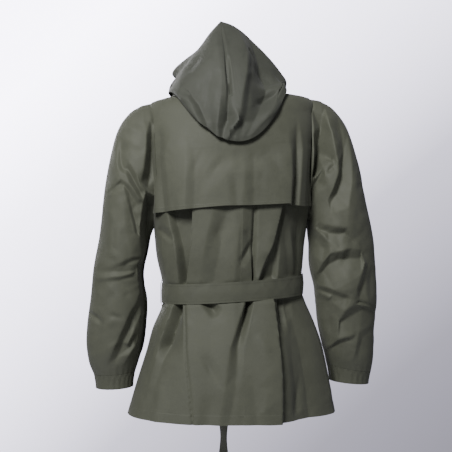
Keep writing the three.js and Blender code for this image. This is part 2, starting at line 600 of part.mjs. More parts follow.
function belt() {
  const round = 56;
  const grid = [-0.5, 0, 0.5].map((share) => {
    const ring = [];
    for (let j = 0; j < round; j += 1) {
      const angle = (2 * Math.PI * j) / round;
      ring.push(beltPoint(angle, BELT_Z + share * BELT_HEIGHT, BELT_LIFT));
    }
    return ring;
  });
  return piece("belt", wallGeometry(grid, { thickness: BELT_WALL, closed: true, flip: true }), COLOURS.trim);
}

// A thin strip at the side seam that the belt runs through, sewn down above and below it
function beltLoop(name, side) {
  const [width, height, thick] = [7, BELT_HEIGHT + 16, 1.2];
  const rows = 8;
  const grid = [];
  for (let i = 0; i <= rows; i += 1) {
    const z = BELT_Z + mix(-0.5, 0.5, i / rows) * height;
    const section = rowAt(BODY_SECTIONS, "z", z);
    const off = Math.abs(z - BELT_Z);
    const over = 1 - smooth(off, BELT_HEIGHT / 2 - 1, BELT_HEIGHT / 2 + 6);
    const sewn = halfWidth(section, side) + 3 * SEAM + thick;
    const outer = halfWidth(rowAt(BODY_SECTIONS, "z", BELT_Z), side) + BELT_LIFT + 3 * SEAM + thick;
    const x = side * mix(sewn, Math.max(outer, sewn), over);
    grid.push([-0.5, 0.5].map((share) => new THREE.Vector3(x, share * width, z + section.tilt * x)));
  }
  return piece(name, wallGeometry(grid, { thickness: thick, flip: side < 0 }), COLOURS.trim);
}

// The tie at the front: a band of cloth wrapped round the two crossing ends
const KNOT = { width: 40, height: 50, depth: 20 };
const KNOT_X = -2;

function beltKnot() {
  const back = -beltPoint(Math.PI, BELT_Z, BELT_LIFT).y + SEAM + 0.2;
  const rows = 7;
  const round = 16;
  const grid = [];
  for (let i = 0; i <= rows; i += 1) {
    const share = mix(-1, 1, i / rows);
    const swell = Math.sqrt(1 - 0.55 * share * share);
    const ring = [];
    for (let j = 0; j < round; j += 1) {
      const angle = (2 * Math.PI * j) / round;
      const [cos, sin] = [Math.cos(angle), Math.sin(angle)];
      const x = KNOT_X + (KNOT.width / 2) * swell * Math.sign(cos) * Math.abs(cos) ** 0.7;
      const y = -(back + KNOT.depth / 2) + (KNOT.depth / 2) * swell * Math.sign(sin) * Math.abs(sin) ** 0.7;
      ring.push(new THREE.Vector3(x, y, BELT_Z + (share * KNOT.height) / 2));
    }
    grid.push(ring);
  }
  return piece("belt_knot", closedBlock(grid), COLOURS.trim);
}

// A filled block from rings of points, closed by a fan at each end
function closedBlock(grid) {
  const [rows, columns] = [grid.length, grid[0].length];
  const positions = [];
  for (const ring of grid) for (const p of ring) positions.push(p.x, p.y, p.z);
  const ends = [grid[0], grid[rows - 1]].map((ring) => {
    const middle = ring.reduce((sum, p) => sum.add(p), new THREE.Vector3()).divideScalar(columns);
    positions.push(middle.x, middle.y, middle.z);
    return positions.length / 3 - 1;
  });
  const index = [];
  for (let i = 0; i < rows - 1; i += 1) {
    for (let j = 0; j < columns; j += 1) {
      const k = (j + 1) % columns;
      const [a, b, c, d] = [i * columns + j, i * columns + k, (i + 1) * columns + k, (i + 1) * columns + j];
      index.push(a, b, c, a, c, d);
    }
  }
  for (let j = 0; j < columns; j += 1) {
    const k = (j + 1) % columns;
    const top = (rows - 1) * columns;
    index.push(ends[0], k, j, ends[1], top + j, top + k);
  }
  const geometry = new THREE.BufferGeometry();
  geometry.setAttribute("position", new THREE.Float32BufferAttribute(positions, 3));
  geometry.setIndex(index);
  return geometry;
}

// The free ends of the belt, hanging from the tie over the front and turning as they hang
const LONG_END = [
  { z: -455.3, x: -10, out: 16, turn: 10, width: 30 },
  { z: -500, x: -14, out: 10, turn: 6, width: 41 },
  { z: -600, x: -16, out: 9, turn: 10, width: 43 },
  { z: -690, x: -12, out: 17, turn: 30, width: 42 },
  { z: -766, x: -8, out: 14, turn: 66, width: 40 },
  { z: -808, x: -8, out: 12, turn: 76, width: 38 },
  { z: -866, x: -8, out: 10, turn: 58, width: 42 },
];
const SHORT_END = [
  { z: -455.3, x: 12, out: 20, turn: -12, width: 28 },
  { z: -500, x: 24, out: 15, turn: -8, width: 40 },
  { z: -570, x: 34, out: 15, turn: -10, width: 43 },
  { z: -632, x: 38, out: 16, turn: -12, width: 43 },
];

function beltEnd(name, sections) {
  const rows = 3 * sections.length;
  const grid = [];
  for (let i = 0; i <= rows; i += 1) {
    const z = mix(sections[0].z, sections[sections.length - 1].z, i / rows);
    const s = rowAt(sections, "z", z);
    const front = smoothBody(s.x, Math.max(z, HEM_Z), -1).y;
    const turn = radians(s.turn);
    grid.push([-0.5, -0.167, 0.167, 0.5].map((share) => new THREE.Vector3(
      s.x + share * s.width * Math.cos(turn), front - s.out - share * s.width * Math.sin(turn), z)));
  }
  return piece(name, wallGeometry(grid, { thickness: BELT_WALL, flip: true }), COLOURS.trim);
}

// Round snap caps down the overlap, from the neck to above the hem
const SNAP_LEVELS = [-92, -190, -290, -380, -520];
const SNAP = { radius: 7.5, thick: 3 };

function snap(index) {
  const z = SNAP_LEVELS[index];
  const [above, below] = [z + SNAP.radius, z - SNAP.radius].map((at) => bodyPoint(0, at, -1).y);
  const profile = [[0, 0], [SNAP.radius, 0], [SNAP.radius, 1.6], [SNAP.radius - 2, SNAP.thick], [0, SNAP.thick]]
    .map(([r, h]) => new THREE.Vector2(r, h));
  const lathe = new THREE.LatheGeometry(profile, 18).deleteAttribute("uv").deleteAttribute("normal");
  const geometry = mergeVertices(lathe, 1e-4);
  geometry.rotateX(Math.PI - Math.atan2(above - below, 2 * SNAP.radius));
  geometry.translate(0, (above + below) / 2 - 2 * SEAM, z);
  return piece(`snap_${index + 1}`, geometry, COLOURS.snap);
}

const raincoat = new THREE.Group();
raincoat.name = "raincoat";
raincoat.add(
  backHalf("back_left", 1), backHalf("back_right", -1), backYoke(),
  frontHalf("front_left", 1), frontHalf("front_right", -1), neckband(),
  sleeve("sleeve_left", 1), sleeve("sleeve_right", -1), cuff("cuff_left", 1), cuff("cuff_right", -1),
  hoodHalf("hood_left", 1), hoodHalf("hood_right", -1),
  belt(), beltKnot(), beltEnd("belt_end_long", LONG_END), beltEnd("belt_end_short", SHORT_END),
  beltLoop("belt_loop_left", 1), beltLoop("belt_loop_right", -1),
);
SNAP_LEVELS.forEach((_, index) => raincoat.add(snap(index)));

export default raincoat;
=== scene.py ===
import math
from functools import partial

import bmesh
import bpy
import numpy as np
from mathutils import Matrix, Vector
from mathutils.geometry import delaunay_2d_cdt


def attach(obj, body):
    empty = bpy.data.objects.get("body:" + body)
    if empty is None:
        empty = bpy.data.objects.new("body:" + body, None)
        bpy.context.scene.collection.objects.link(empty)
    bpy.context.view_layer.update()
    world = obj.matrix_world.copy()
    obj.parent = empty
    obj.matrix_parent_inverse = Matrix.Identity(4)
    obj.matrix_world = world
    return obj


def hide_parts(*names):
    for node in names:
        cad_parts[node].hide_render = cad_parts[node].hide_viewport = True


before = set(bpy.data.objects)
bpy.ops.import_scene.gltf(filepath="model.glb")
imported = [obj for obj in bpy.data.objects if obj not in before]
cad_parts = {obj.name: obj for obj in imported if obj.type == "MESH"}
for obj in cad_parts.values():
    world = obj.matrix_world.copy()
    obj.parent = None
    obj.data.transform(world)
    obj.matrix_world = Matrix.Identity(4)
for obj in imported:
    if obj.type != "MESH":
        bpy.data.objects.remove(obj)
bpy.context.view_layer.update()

# Hooded belted raincoat. Sizes are in millimetres in the garment's frame: +Z up, the front
# towards -Y, the wearer's left towards +X. The meshes are made in metres.
MM = 0.001

# Cloth and seams
CLOTH = 1.2
SEAM = 0.3
BELT_CLOTH = 2.0
BELT_HEIGHT = 43
BELT_Z = -430
BELT_LIFT = 7.2
BELT_RADIUS = 152
BELT_WRINKLE_SHARE = 0.6
HEM_RISE = 0.4
# Creases fade out within this distance of the side seams, along the depth
SIDE_FADE = (4, 34)
# The slow unevenness of each cloth: its depth and the size of its waves
BODY_UNEVEN = (0.9, 150)
YOKE_UNEVEN = (1.2, 140)
SLEEVE_UNEVEN = (1.1, 130)
HOOD_UNEVEN = (1.4, 120)

# Levels of the body
HEM_Z = -705
ARMPIT_Z = -285
SHOULDER_TIP_Z = -10
NECK_SIDE_Z = 4
BACK_NECK_DROP = 116
FRONT_NECK_DROP = 72
NECK_DROP_POWER = 2.2
ARMHOLE_HALF_DEPTH = 62
CENTRE_SEAM_X = -6
CENTRE_LAP = 8
CENTRE_LAP_DROP = 1.0
SIDE_LAP_WIDTH = 16
SIDE_LAP_RISE = 0.7
SIDE_LAP_TOP_Z = -300
STRIP_EDGE_X = -27
STRIP_FOOT_Z = -372
STRIP_RISE = 1.3
NECK_HALF_WIDTH = 125

# Front overlap, yoke, neckband and hood
OVERLAP_X = 22
OVERLAP_FLAT = (26, 44)
UNDERLAP_DEPTH = 3.4
YOKE_Z = -250
YOKE_LIFT = 2.6
YOKE_EDGE_LIFT = 6
YOKE_HEIGHT = 240
YOKE_ROOM = 3
YOKE_END = 0.925
# The yoke's folds die out between these shares of its height
YOKE_STILL = (0.55, 0.95)
# The back's own creases start between these depths, and between these heights it takes up the
# folds of the yoke on it
BARE_BACK = (222, 250)
PRESSED_BACK = (-246, -205)
BAND_HEIGHT = 15
BAND_LEAN = 0.3
HOOD_NECK_START = 0.3
HOOD_SEAM_X = 22
HOOD_NECK_SEAM_X = 18
HOOD_FRONT_ANGLE = 52
HOOD_STAND_OFF = (12, 7)
HOOD_SEAM_LAP = 1.5
HOOD_WELT = 0.45
HOOD_BRIM = 0.8
HOOD_NECK_HALF_WIDTH = 130
# The hood's folds start between these of its rows, and between these depths
HOOD_FOLDS_START = (2.5, 4.2)
HOOD_BACK = (4, 40)

# Sewing
HEM_FOLD = 19
YOKE_HEM_FOLD = 9
TOP_STITCH = 5
STITCH_STEP = 4.2
STITCH_LENGTH = 3.0
STITCH_WIDTH = 0.8
STITCH_RISE = 0.28
STITCH_ROOT = 0.3
STITCH_DIP = 0.1
HEM_STITCH_END = 0.995
# Corners of a stitch's faces: its two ends, its two sides, its top and its root
STITCH_FACES = ((0, 2, 4), (2, 1, 4), (1, 3, 4), (3, 0, 4),
                (2, 0, 5), (1, 2, 5), (3, 1, 5), (0, 3, 5))
# How far the stitches are from the centre seam, and from the side seams
SEAM_STITCH = 3.5
SIDE_STITCH = 12

# Cuffs
CUFF_HEIGHT = 32
CUFF_NARROWING = 0.9
CUFF_GATHERS = 22
CUFF_GATHER_DEPTH = 0.6
SLEEVE_GATHER_DEPTH = 0.4

# Points of the meshes: the step up a panel, and columns and rows of the other pieces. A sleeve
# has rows at its armhole and further rows below.
MESH_STEP = 3.6
ARMHOLE_LEVELS = 90
SHOULDER_LEVELS = 12
BACK_COLUMNS = 112
FRONT_COLUMNS = 64
YOKE_GRID = (180, 64)
BAND_GRID = (150, 8)
SLEEVE_GRID = (164, 14, 196)
CUFF_GRID = (220, 16)
HOOD_GRID = (126, 184)
BELT_GRID = (260, 15)
BELT_END_COLUMNS = 13
BELT_END_STEP = 4
# Extra columns and rows where laps and hems have their edges, as shares
CENTRE_LAP_SHARES = (0.004, 0.092, 0.1, 0.108)
SIDE_LAP_SHARES = (0.9, 0.905, 0.912, 0.92, 0.93)
YOKE_HEM_SHARES = (0.033, 0.036, 0.04, 0.043)

# Sections of the body: height, half widths to the wearer's left and right, depths behind and
# before the side seams, squareness, and the slope from side to side
BODY_COLUMNS = ("z", "left", "right", "back", "front", "square", "tilt")
BODY_SECTIONS = (
    (-705, 229, 238, 142, 140, 2.1, 0.012),
    (-640, 211, 225, 137, 135, 2.1, 0.0),
    (-560, 187, 207, 127, 127, 2.1, -0.02),
    (-510, 174, 188, 118, 120, 2.1, -0.04),
    (-462, 154, 166, 107, 110, 2.1, -0.055),
    (-430, 148, 158, 104, 107, 2.1, -0.055),
    (-398, 154, 162, 106, 110, 2.1, -0.055),
    (-350, 165, 166, 112, 118, 2.2, -0.05),
    (-285, 172, 174, 117, 126, 2.3, -0.05),
    (-200, 186, 186, 121, 128, 2.3, -0.05),
    (-110, 194, 194, 119, 117, 2.2, -0.05),
    (-50, 191, 191, 106, 98, 2.0, -0.05),
    (-10, 179, 179, 86, 78, 1.9, -0.05),
    (4, 132, 115, 68, 62, 1.9, -0.05),
)

# Sections of the sleeves from the armhole down: the outer and inner edge, the middle's place
# before or behind the side seams, and the half depth
SLEEVE_COLUMNS = ("along", "outer_x", "outer_z", "inner_x", "inner_z", "y", "depth")
LEFT_SLEEVE = (
    (1, 200, -24, 174, -298, 0, 66),
    (2, 226, -41, 177, -305, 1, 69),
    (3, 250, -76, 180, -314, 2, 70),
    (4, 265, -124, 182, -326, 3, 70),
    (5, 276, -180, 184, -340, 4, 69),
    (6, 283, -242, 187, -356, 6, 67),
    (7, 292, -302, 191, -374, 7, 66),
    (8, 300, -356, 194, -396, 7, 64),
    (9, 307, -410, 193, -420, 5, 62),
    (10, 312, -456, 188, -452, 2, 61),
    (11, 317, -504, 188, -498, -4, 60),
    (12, 320, -552, 193, -548, -11, 58),
    (13, 315, -590, 203, -584, -17, 53),
    (14, 304, -618, 212, -612, -21, 45),
)
RIGHT_SLEEVE = (
    (1, 204, -4, 177, -282, 0, 66),
    (2, 234, -22, 178, -289, 1, 70),
    (3, 262, -58, 179, -298, 2, 72),
    (4, 282, -110, 180, -310, 3, 73),
    (5, 297, -168, 181, -326, 5, 73),
    (6, 311, -238, 181, -346, 6, 72),
    (7, 325, -300, 181, -368, 7, 70),
    (8, 333, -356, 184, -392, 7, 68),
    (9, 337, -410, 191, -420, 5, 66),
    (10, 338, -458, 197, -454, 1, 64),
    (11, 337, -506, 203, -500, -7, 60),
    (12, 338, -560, 214, -548, -16, 57),
    (13, 338, -600, 225, -586, -23, 52),
    (14, 335, -628, 232, -610, -28, 46),
)

# The fold of the hood over the neckband: how far each row stands out from the top of the band,
# and above it, at the front edge, the sides and the back
HOOD_FOLD = (
    {"front_out": 6, "front_up": 9, "side_out": 5, "side_up": 7, "back_out": 9, "back_up": 12},
    {"front_out": 9, "front_up": 15, "side_out": 9, "side_up": 0, "back_out": 14, "back_up": -5},
    {"front_out": 11, "front_up": 22, "side_out": 11, "side_up": -6, "back_out": 19, "back_up": -16},
)

# Rows of the hood above that fold: heights at the front edge, the sides and the back, half
# widths from the centre seam, depths behind and before the shoulders, and how far the front
# edges turn outwards
HOOD_COLUMNS = ("front", "left", "right", "back", "wide_left", "wide_right", "deep", "fore",
                "turn_left", "turn_right")
HOOD_ROWS = (
    (-12, 11, 26, -104, 117, 148, 137, 112, -16, -10),
    (10, 26, 40, -80, 109, 148, 137, 98, 2, -6),
    (34, 46, 58, -42, 97, 136, 130, 90, 14, 0),
    (60, 68, 80, 0, 79, 119, 117, 88, 50, 0),
    (90, 94, 102, 46, 60, 98, 99, 88, 34, 0),
    (115, 118, 125, 89, 43, 73, 75, 88, 5, 0),
    (139, 141, 148, 124, 27, 48, 47, 86, 0, 0),
    (155, 158, 163, 152, 12, 25, 24, 84, 0, 0),
    (164, 171, 171, 167, 0, 0, 4, 82, 0, 0),
)

# Creases: a line between two places from its upper to its lower end, how far it spreads towards
# the wearer's left and right, how deep it sinks in, the share of that depth at its upper and
# lower end, how much it has widened at its lower end, and how soft it is. A row that starts
# where the one before it ends goes on with the same crease.
FOLDED, ROLLED = 1.2, 2.0
CREASE_COLUMNS = ("x1", "z1", "x2", "z2", "to_left", "to_right", "depth", "top", "foot", "widen",
                  "soft")
BACK_CREASES = (
    (168, -286, 136, -313, 5, 9, 5, 0.2, 0.4, 1.0, 1.4),
    (160, -324, 136, -404, 13, 13, -4, 0.3, 1.0, 0.8, 1.6),
    (-12, -300, -32, -322, 6, 9, 3, 0.2, 0.4, 1.0, 1.5),
    (-30, -326, -8, -362, 5, 10, 7, 0.4, 0.7, 1.0, 1.2),
    (30, -268, 58, -330, 12, 16, 4, 0.2, 0.3, 1.0, 1.6),
    (-8, -366, -30, -398, 8, 8, -3, 0.2, 0.4, 1.0, 1.5),
    (-50, -390, -66, -350, 7, 10, 4, 0.6, 0.1, 1.0, 1.5),
    (-122, -300, -136, -400, 9, 9, -5, 0.2, 0.8, 1.0, 1.5),
    (158, -446, 154, -466, 4, 5, 14, 1.0, 0.1, 1.0, 1.2),
    (148, -530, 172, -566, 6, 10, 5, 0.5, 0.1, 1.2, 1.4),
    (70, -446, 44, -480, 6, 9, 15, 1.0, 0.1, 1.3, 1.2),
    (78, -560, 46, -620, 6, 12, 4, 0.2, 0.3, 1.0, 1.4),
    (-97, -446, -101, -520, 5, 8, 15, 1.0, 0.1, 1.0, 1.2),
    (-112, -446, -118, -500, 6, 8, 6, 1.0, 0.1, 1.2, 1.3),
    (-36, -520, -60, -560, 8, 12, -3, 0.2, 0.3, 1.0, 1.5),
    (-120, -540, -138, -700, 9, 12, 4, 0.2, 0.8, 1.2, 1.5),
    (-150, -600, -128, -690, 10, 10, 3, 0.1, 0.8, 1.0, 1.6),
    (160, -600, 176, -720, 14, 14, -4, 0.2, 1.0, 1.0, 1.6),
    (60, -640, 66, -720, 14, 14, 3, 0.2, 1.0, 1.0, 1.6),
    (-24, -600, -34, -720, 14, 14, 3, 0.2, 1.0, 1.0, 1.6),
)
YOKE_CREASES = (
    (46, -121, -62, -117, 34, 14, 9, 0.2, 0.5, 1.0, 1.6),
    (158, -64, 182, -150, 11, 14, 7, 0.2, 1.0, 1.0, 1.5),
    (182, -150, 186, -262, 10, 15, 7, 1.0, 0.8, 1.0, 1.5),
    (74, -150, 84, -266, 14, 14, 2, 0.1, 0.9, 1.0, 1.8),
    (30, -138, 66, -196, 10, 14, 3, 0.2, 0.2, 1.0, 1.6),
    (-60, -130, -92, -190, 12, 10, 3, 0.3, 0.2, 1.0, 1.6),
    (12, -176, 4, -262, 9, 12, 3, 0.2, 0.8, 1.0, 1.5),
)
FRONT_CREASES = (
    (104, -200, 74, -410, 9, 20, 13.5, 0.2, 1.0, 0.7, 1.5),
    (140, -240, 126, -408, 11, 16, 9, 0.2, 1.0, 0.9, 1.6),
    (-112, -230, -80, -410, 18, 8, 13.5, 0.2, 1.0, 0.7, 1.5),
    (-60, -300, -44, -408, 12, 8, 7.5, 0.2, 1.0, 0.8, 1.5),
    (-146, -270, -128, -406, 12, 12, -6, 0.2, 1.0, 0.9, 1.7),
    (120, -447, 128, -716, 8, 20, 16.5, 1.0, 1.0, 1.4, 1.4),
    (74, -464, 86, -716, 20, 20, -9, 0.2, 1.0, 1.0, 1.8),
    (52, -447, 60, -560, 8, 9, 12, 1.0, 0.1, 1.5, 1.4),
    (-70, -447, -84, -716, 20, 9, 16.5, 1.0, 1.0, 1.3, 1.4),
    (-116, -464, -140, -716, 20, 20, -9, 0.2, 1.0, 1.0, 1.8),
    (-126, -447, -150, -590, 9, 11, 12, 1.0, 0.1, 1.5, 1.5),
    (-40, -448, -34, -540, 8, 8, 7.5, 1.0, 0.1, 1.3, 1.5),
)

# Fold lines of the sleeves: along each, the distance from the middle, the height, and how far
# the cloth stands out there. The cloth lies flat between the lines.
LEFT_SLEEVE_LINES = (
    # The valley along the armhole, and the crest outside it
    ((178, -85, -7), (180, -113, -15.5), (182, -146, -18), (185, -179, -17), (189, -207, -8.5)),
    ((184, -63, 3), (191, -92, 7), (193, -129, 8.5), (198, -168, 8.5), (206, -203, 4)),
    # The outer edge of the upper arm
    ((266, -59, 0), (275, -116, 2), (281, -168, 3.5), (288, -233, 3), (295, -310, 0)),
    # A fold down the upper arm
    ((255, -76, 0), (258, -116, 3.5), (257, -144, 5.5),
     (253, -168, 5.5), (246, -190, 5), (240, -211, 4)),
    ((244, -98, -1.5), (247, -124, -6.5), (246, -146, -8.5), (242, -166, -7)),
    # Two narrow folds towards the armpit
    ((237, -181, 4), (222, -209, 5.5), (206, -233, 4)),
    ((244, -198, -4), (228, -220, -5.5), (213, -242, -5.5)),
    ((231, -170, -7), (217, -196, -7), (204, -220, -4)),
    ((228, -155, 3), (213, -181, 4), (193, -214, 4)),
    # A sharp narrow fold
    ((235, -231, 3), (228, -255, 4), (220, -286, 4), (215, -307, 3)),
    ((228, -233, -4), (222, -259, -5.5), (215, -283, -5.5), (211, -305, -4)),
    # The hollow under the arm
    ((198, -238, 4), (202, -264, 4), (206, -292, 4),
     (206, -316, 3), (202, -340, 1.5), (198, -358, 1.5)),
    ((187, -244, -30), (189, -277, -34), (191, -310, -34), (187, -338, -30)),
    # Short folds inside the elbow
    ((257, -371, 1.5), (240, -364, 4), (222, -355, 4)),
    ((255, -377, -1.5), (237, -373, -3), (217, -362, -3)),
    # The crease across the elbow
    ((310, -388, -1.5), (270, -388, -3), (231, -387, -4), (213, -386, -3)),
    ((310, -399, 0.5), (279, -401, 2), (251, -397, 3.5), (224, -391, 3)),
    ((306, -410, -0.5), (281, -410, -1.5), (251, -406, -3), (222, -398, -3)),
    # The long fold inside the forearm
    ((211, -447, 4), (224, -469, 6.5), (237, -499, 7.5),
     (251, -530, 7), (264, -560, 5.5), (277, -595, 1.5)),
    ((206, -460, -4), (220, -484, -7), (228, -512, -7),
     (242, -543, -7), (254, -574, -5.5), (264, -602, -1.5)),
    ((205, -491, 4), (215, -508, 4), (222, -526, 7), (231, -543, 5.5)),
    ((208, -521, -1.5), (217, -534, -3), (228, -554, -3)),
    ((215, -550, 5.5), (228, -569, 7), (242, -595, 4)),
    # The inner edge, which turns away
    ((211, -371, 1.5), (209, -408, 1.5), (206, -434, 1.5)),
    ((203, -478, 0), (204, -517, 0), (211, -552, 0),
     (216, -582, 0), (222, -608, 0), (228, -635, 0)),
    ((198, -373, -26), (198, -408, -26), (194, -443, -28), (191, -478, -28), (192, -517, -28),
     (198, -552, -28), (205, -587, -26), (213, -617, -20), (220, -639, -19.5)),
)
RIGHT_SLEEVE_LINES = (
    # The crest beside the armhole
    ((-177, -28, 1.5), (-175, -81, 7), (-175, -124, 8.5), (-174, -157, 7), (-173, -185, 1.5)),
    # The wall that falls from the armhole, and its foot
    ((-202, -41, -3), (-199, -70, -22), (-190, -124, -32), (-186, -153, -32), (-181, -177, -26)),
    # A ridge down from the shoulder
    ((-210, -24, 3), (-210, -54, 8.5), (-217, -85, 10), (-221, -118, 10),
     (-228, -150, 8.5), (-228, -174, 8.5), (-217, -203, 10), (-206, -231, 3)),
    # The valley beside it
    ((-237, -41, 0), (-243, -81, -4), (-246, -124, -8.5), (-241, -157, -10),
     (-239, -185, -10), (-228, -216, -8.5), (-213, -238, -4)),
    # The long outer ridge
    ((-259, -81, 3), (-263, -124, 5.5), (-263, -168, 8.5),
     (-257, -211, 10), (-250, -249, 10), (-246, -294, 8.5)),
    # The inner edge of the lit facet
    ((-199, -174, 4), (-202, -203, 4), (-206, -231, 3), (-213, -262, 4), (-221, -292, 8.5)),
    # The lower edge of the upper arm's facets
    ((-190, -281, 3), (-202, -288, 5.5), (-221, -292, 8.5), (-246, -294, 8.5)),
    # The foot under that edge
    ((-193, -297, -5.5), (-210, -305, -8.5), (-228, -307, -8.5), (-243, -305, -7)),
    # A thin strip and the slit below it
    ((-195, -161, -4), (-182, -181, -4), (-173, -198, -5.5)),
    ((-197, -172, -10), (-186, -192, -14), (-175, -211, -17)),
    # The hollow under the arm
    ((-184, -214, 1.5), (-177, -246, 0), (-173, -273, 3)),
    ((-173, -220, -19.5), (-168, -251, -19.5)),
    # A fold that crosses below it
    ((-173, -275, 4), (-184, -292, 7), (-197, -310, 7), (-210, -327, 4)),
    ((-175, -292, -5.5), (-186, -314, -7), (-202, -340, -4)),
    # The elbow's upper crest
    ((-285, -342, 0), (-259, -338, 4), (-232, -345, 8.5),
     (-210, -351, 10), (-197, -371, 10), (-186, -403, 5.5)),
    # And its foot
    ((-285, -362, -5.5), (-254, -362, -10), (-232, -364, -11),
     (-213, -375, -11), (-204, -390, -10), (-193, -412, -3)),
    # The elbow's lower crest
    ((-184, -421, 4), (-204, -425, 8.5), (-224, -432, 8.5), (-254, -445, 5.5)),
    # And its foot
    ((-188, -430, -1.5), (-206, -436, -3), (-224, -443, -3), (-252, -451, -1.5)),
    # A short fold under it
    ((-188, -436, 1.5), (-202, -443, 3), (-217, -449, 3)),
    ((-184, -447, -7), (-202, -456, -7), (-219, -458, -3)),
    # The ridge outside the elbow
    ((-290, -369, 7), (-281, -397, 8.5), (-270, -430, 8.5),
     (-259, -451, 7), (-248, -478, 7), (-239, -499, 3)),
    ((-301, -377, -4), (-294, -408, -4), (-283, -434, -4)),
    # A fold across the forearm
    ((-259, -451, 7), (-279, -454, 4), (-301, -460, 4)),
    ((-279, -458, -1.5), (-301, -464, 0)),
    ((-268, -464, 5.5), (-296, -469, 5.5)),
    ((-243, -506, -5.5), (-263, -491, -7), (-292, -475, -3)),
    # A fold above the cuff
    ((-281, -532, 1.5), (-254, -539, 7), (-239, -545, 8.5), (-224, -565, 7), (-213, -591, 3)),
    ((-274, -543, -1.5), (-254, -550, -4), (-241, -556, -5.5),
     (-230, -574, -5.5), (-219, -595, -1.5)),
    # A fold down the outer side
    ((-287, -526, 1.5), (-281, -560, 4), (-276, -595, 1.5)),
    ((-296, -543, -4), (-292, -565, -4), (-287, -595, -3)),
)
# A frame of flat cloth round the fold lines of each sleeve. The sleeve's front has the same
# folds as its back, lower down and shallower.
SLEEVE_FRAME = {1: (150, 345), -1: (-360, -150)}
SLEEVE_FRAME_HEIGHTS = (10, -660)
SLEEVE_FRAME_STEPS = 9
FRONT_FOLD_DROP = 22
FRONT_FOLD_SHARE = 0.6
# Where along a sleeve its folds start and end
SLEEVE_FOLDS_START = (0.0, 0.35)
SLEEVE_FOLDS_END = (12.2, 13.6)
# Depths over which the folds of a sleeve's back and front start
SLEEVE_BACK = (-4, 24)
SLEEVE_FRONT = (-4, 34)
SLEEVE_WRINKLE_SHARE = 1.5
LEFT_SLEEVE_CREASES = (
    (272, -230, 262, -340, 12, 14, -4, 0.2, 0.2, 1.0, 1.6),
    (232, -230, 222, -300, 8, 10, 4, 0.2, 0.4, 1.0, 1.5),
    (290, -470, 302, -560, 9, 9, 4, 0.2, 0.4, 1.0, 1.5),
    (276, -100, 262, -150, 8, 10, 4, 0.2, 0.4, 1.0, 1.5),
    (252, -90, 240, -140, 7, 9, 4, 0.2, 0.3, 1.0, 1.5),
    (312, -480, 290, -498, 5, 5, 5, 0.8, 0.2, 1.0, 1.3),
    (270, -480, 248, -486, 5, 5, 3, 0.2, 0.4, 1.0, 1.3),
    (286, -608, 262, -626, 5, 6, 4, 0.3, 0.8, 1.0, 1.3),
    (246, -596, 240, -628, 5, 5, 5, 0.3, 0.9, 1.0, 1.3),
)
RIGHT_SLEEVE_CREASES = (
    (-210, -138, -227, -160, 3, 4, 5, 0.6, 0.6, 1.0, 1.2),
    (-204, -150, -224, -148, 3, 4, -4, 0.5, 0.5, 1.0, 1.2),
    (-218, -158, -206, -172, 4, 4, 5, 0.6, 0.4, 1.0, 1.2),
    (-240, -380, -262, -440, 10, 10, -3, 0.2, 0.3, 1.0, 1.5),
    (-316, -380, -310, -450, 9, 9, 4, 0.2, 0.2, 1.0, 1.5),
    (-216, -480, -228, -560, 7, 9, 4, 0.2, 0.4, 1.0, 1.4),
    (-232, -60, -240, -110, 8, 9, 3, 0.2, 0.3, 1.0, 1.5),
)
HOOD_CREASES = (
    (20, 70, 18, -14, 2.2, 2.6, 7, 0.3, 0.8, 1.0, 1.2),
    (74, 82, 98, 50, 6, 6, 3.5, 0.2, 0.8, 1.2, 1.3),
    (124, 2, 100, -12, 8, 18, 5, 0.2, 1.0, 1.0, 1.5),
    (100, -12, 86, -34, 7, 24, 9, 1.0, 1.0, 1.0, 1.5),
    (86, -34, 74, -66, 8, 24, 10, 1.0, 1.0, 1.0, 1.5),
    (74, -66, 66, -106, 9, 22, 9, 1.0, 0.4, 1.0, 1.5),
    (52, 46, 68, -10, 12, 18, 5, 0.2, 0.6, 1.0, 1.7),
    (-58, 58, -104, 48, 12, 12, 6, 0.4, 0.8, 1.0, 1.5),
    (-50, 14, -106, 22, 12, 10, -7, 0.3, 0.6, 1.0, 1.5),
    (-92, 2, -44, -26, 8, 14, 8, 0.6, 0.3, 1.0, 1.5),
    (-112, -14, -66, -58, 12, 12, -5, 0.4, 0.4, 1.0, 1.6),
    (-38, 98, -56, 84, 4, 5, 5, 1.0, 0.2, 1.0, 1.3),
)

# Fold lines: where each crosses the levels from high to low, and how far out it stands there.
# The cloth is flat from one line to the next, and the lines run from the wearer's left to right.
BACK_LEVELS = (-258, -330, -404)
BACK_FOLDS = (
    ((168, 168, 158), (0, 0, 0)),
    ((146, 129, 121), (4, 5, 4)),
    ((139, 122, 115), (-14, -18, -24)),
    ((103, 104, 112), (-20, -21, -25)),
    ((97, 99, 107), (3, 3, 2)),
    ((56, 71, 80), (5, 5, 3)),
    ((28, 38, 52), (-1, -4, -2)),
    ((-5, 2, 8), (4, 5, 3)),
    ((-30, -29, -31), (-3, -6, -3)),
    ((-35, -34, -35), (-9, -13, -19)),
    ((-44, -42, -38), (-2, -2, 0)),
    ((-91, -74, -44), (8, 9, 5)),
    ((-98, -84, -56), (-10, -11, -12)),
    ((-104, -90, -82), (-13, -12, -13)),
    ((-112, -98, -89), (-8, -6, 0)),
    ((-150, -148, -138), (-13, -13, -9)),
    ((-172, -170, -158), (0, 0, 0)),
)
SKIRT_LEVELS = (-456, -545, -580, -640, -700)
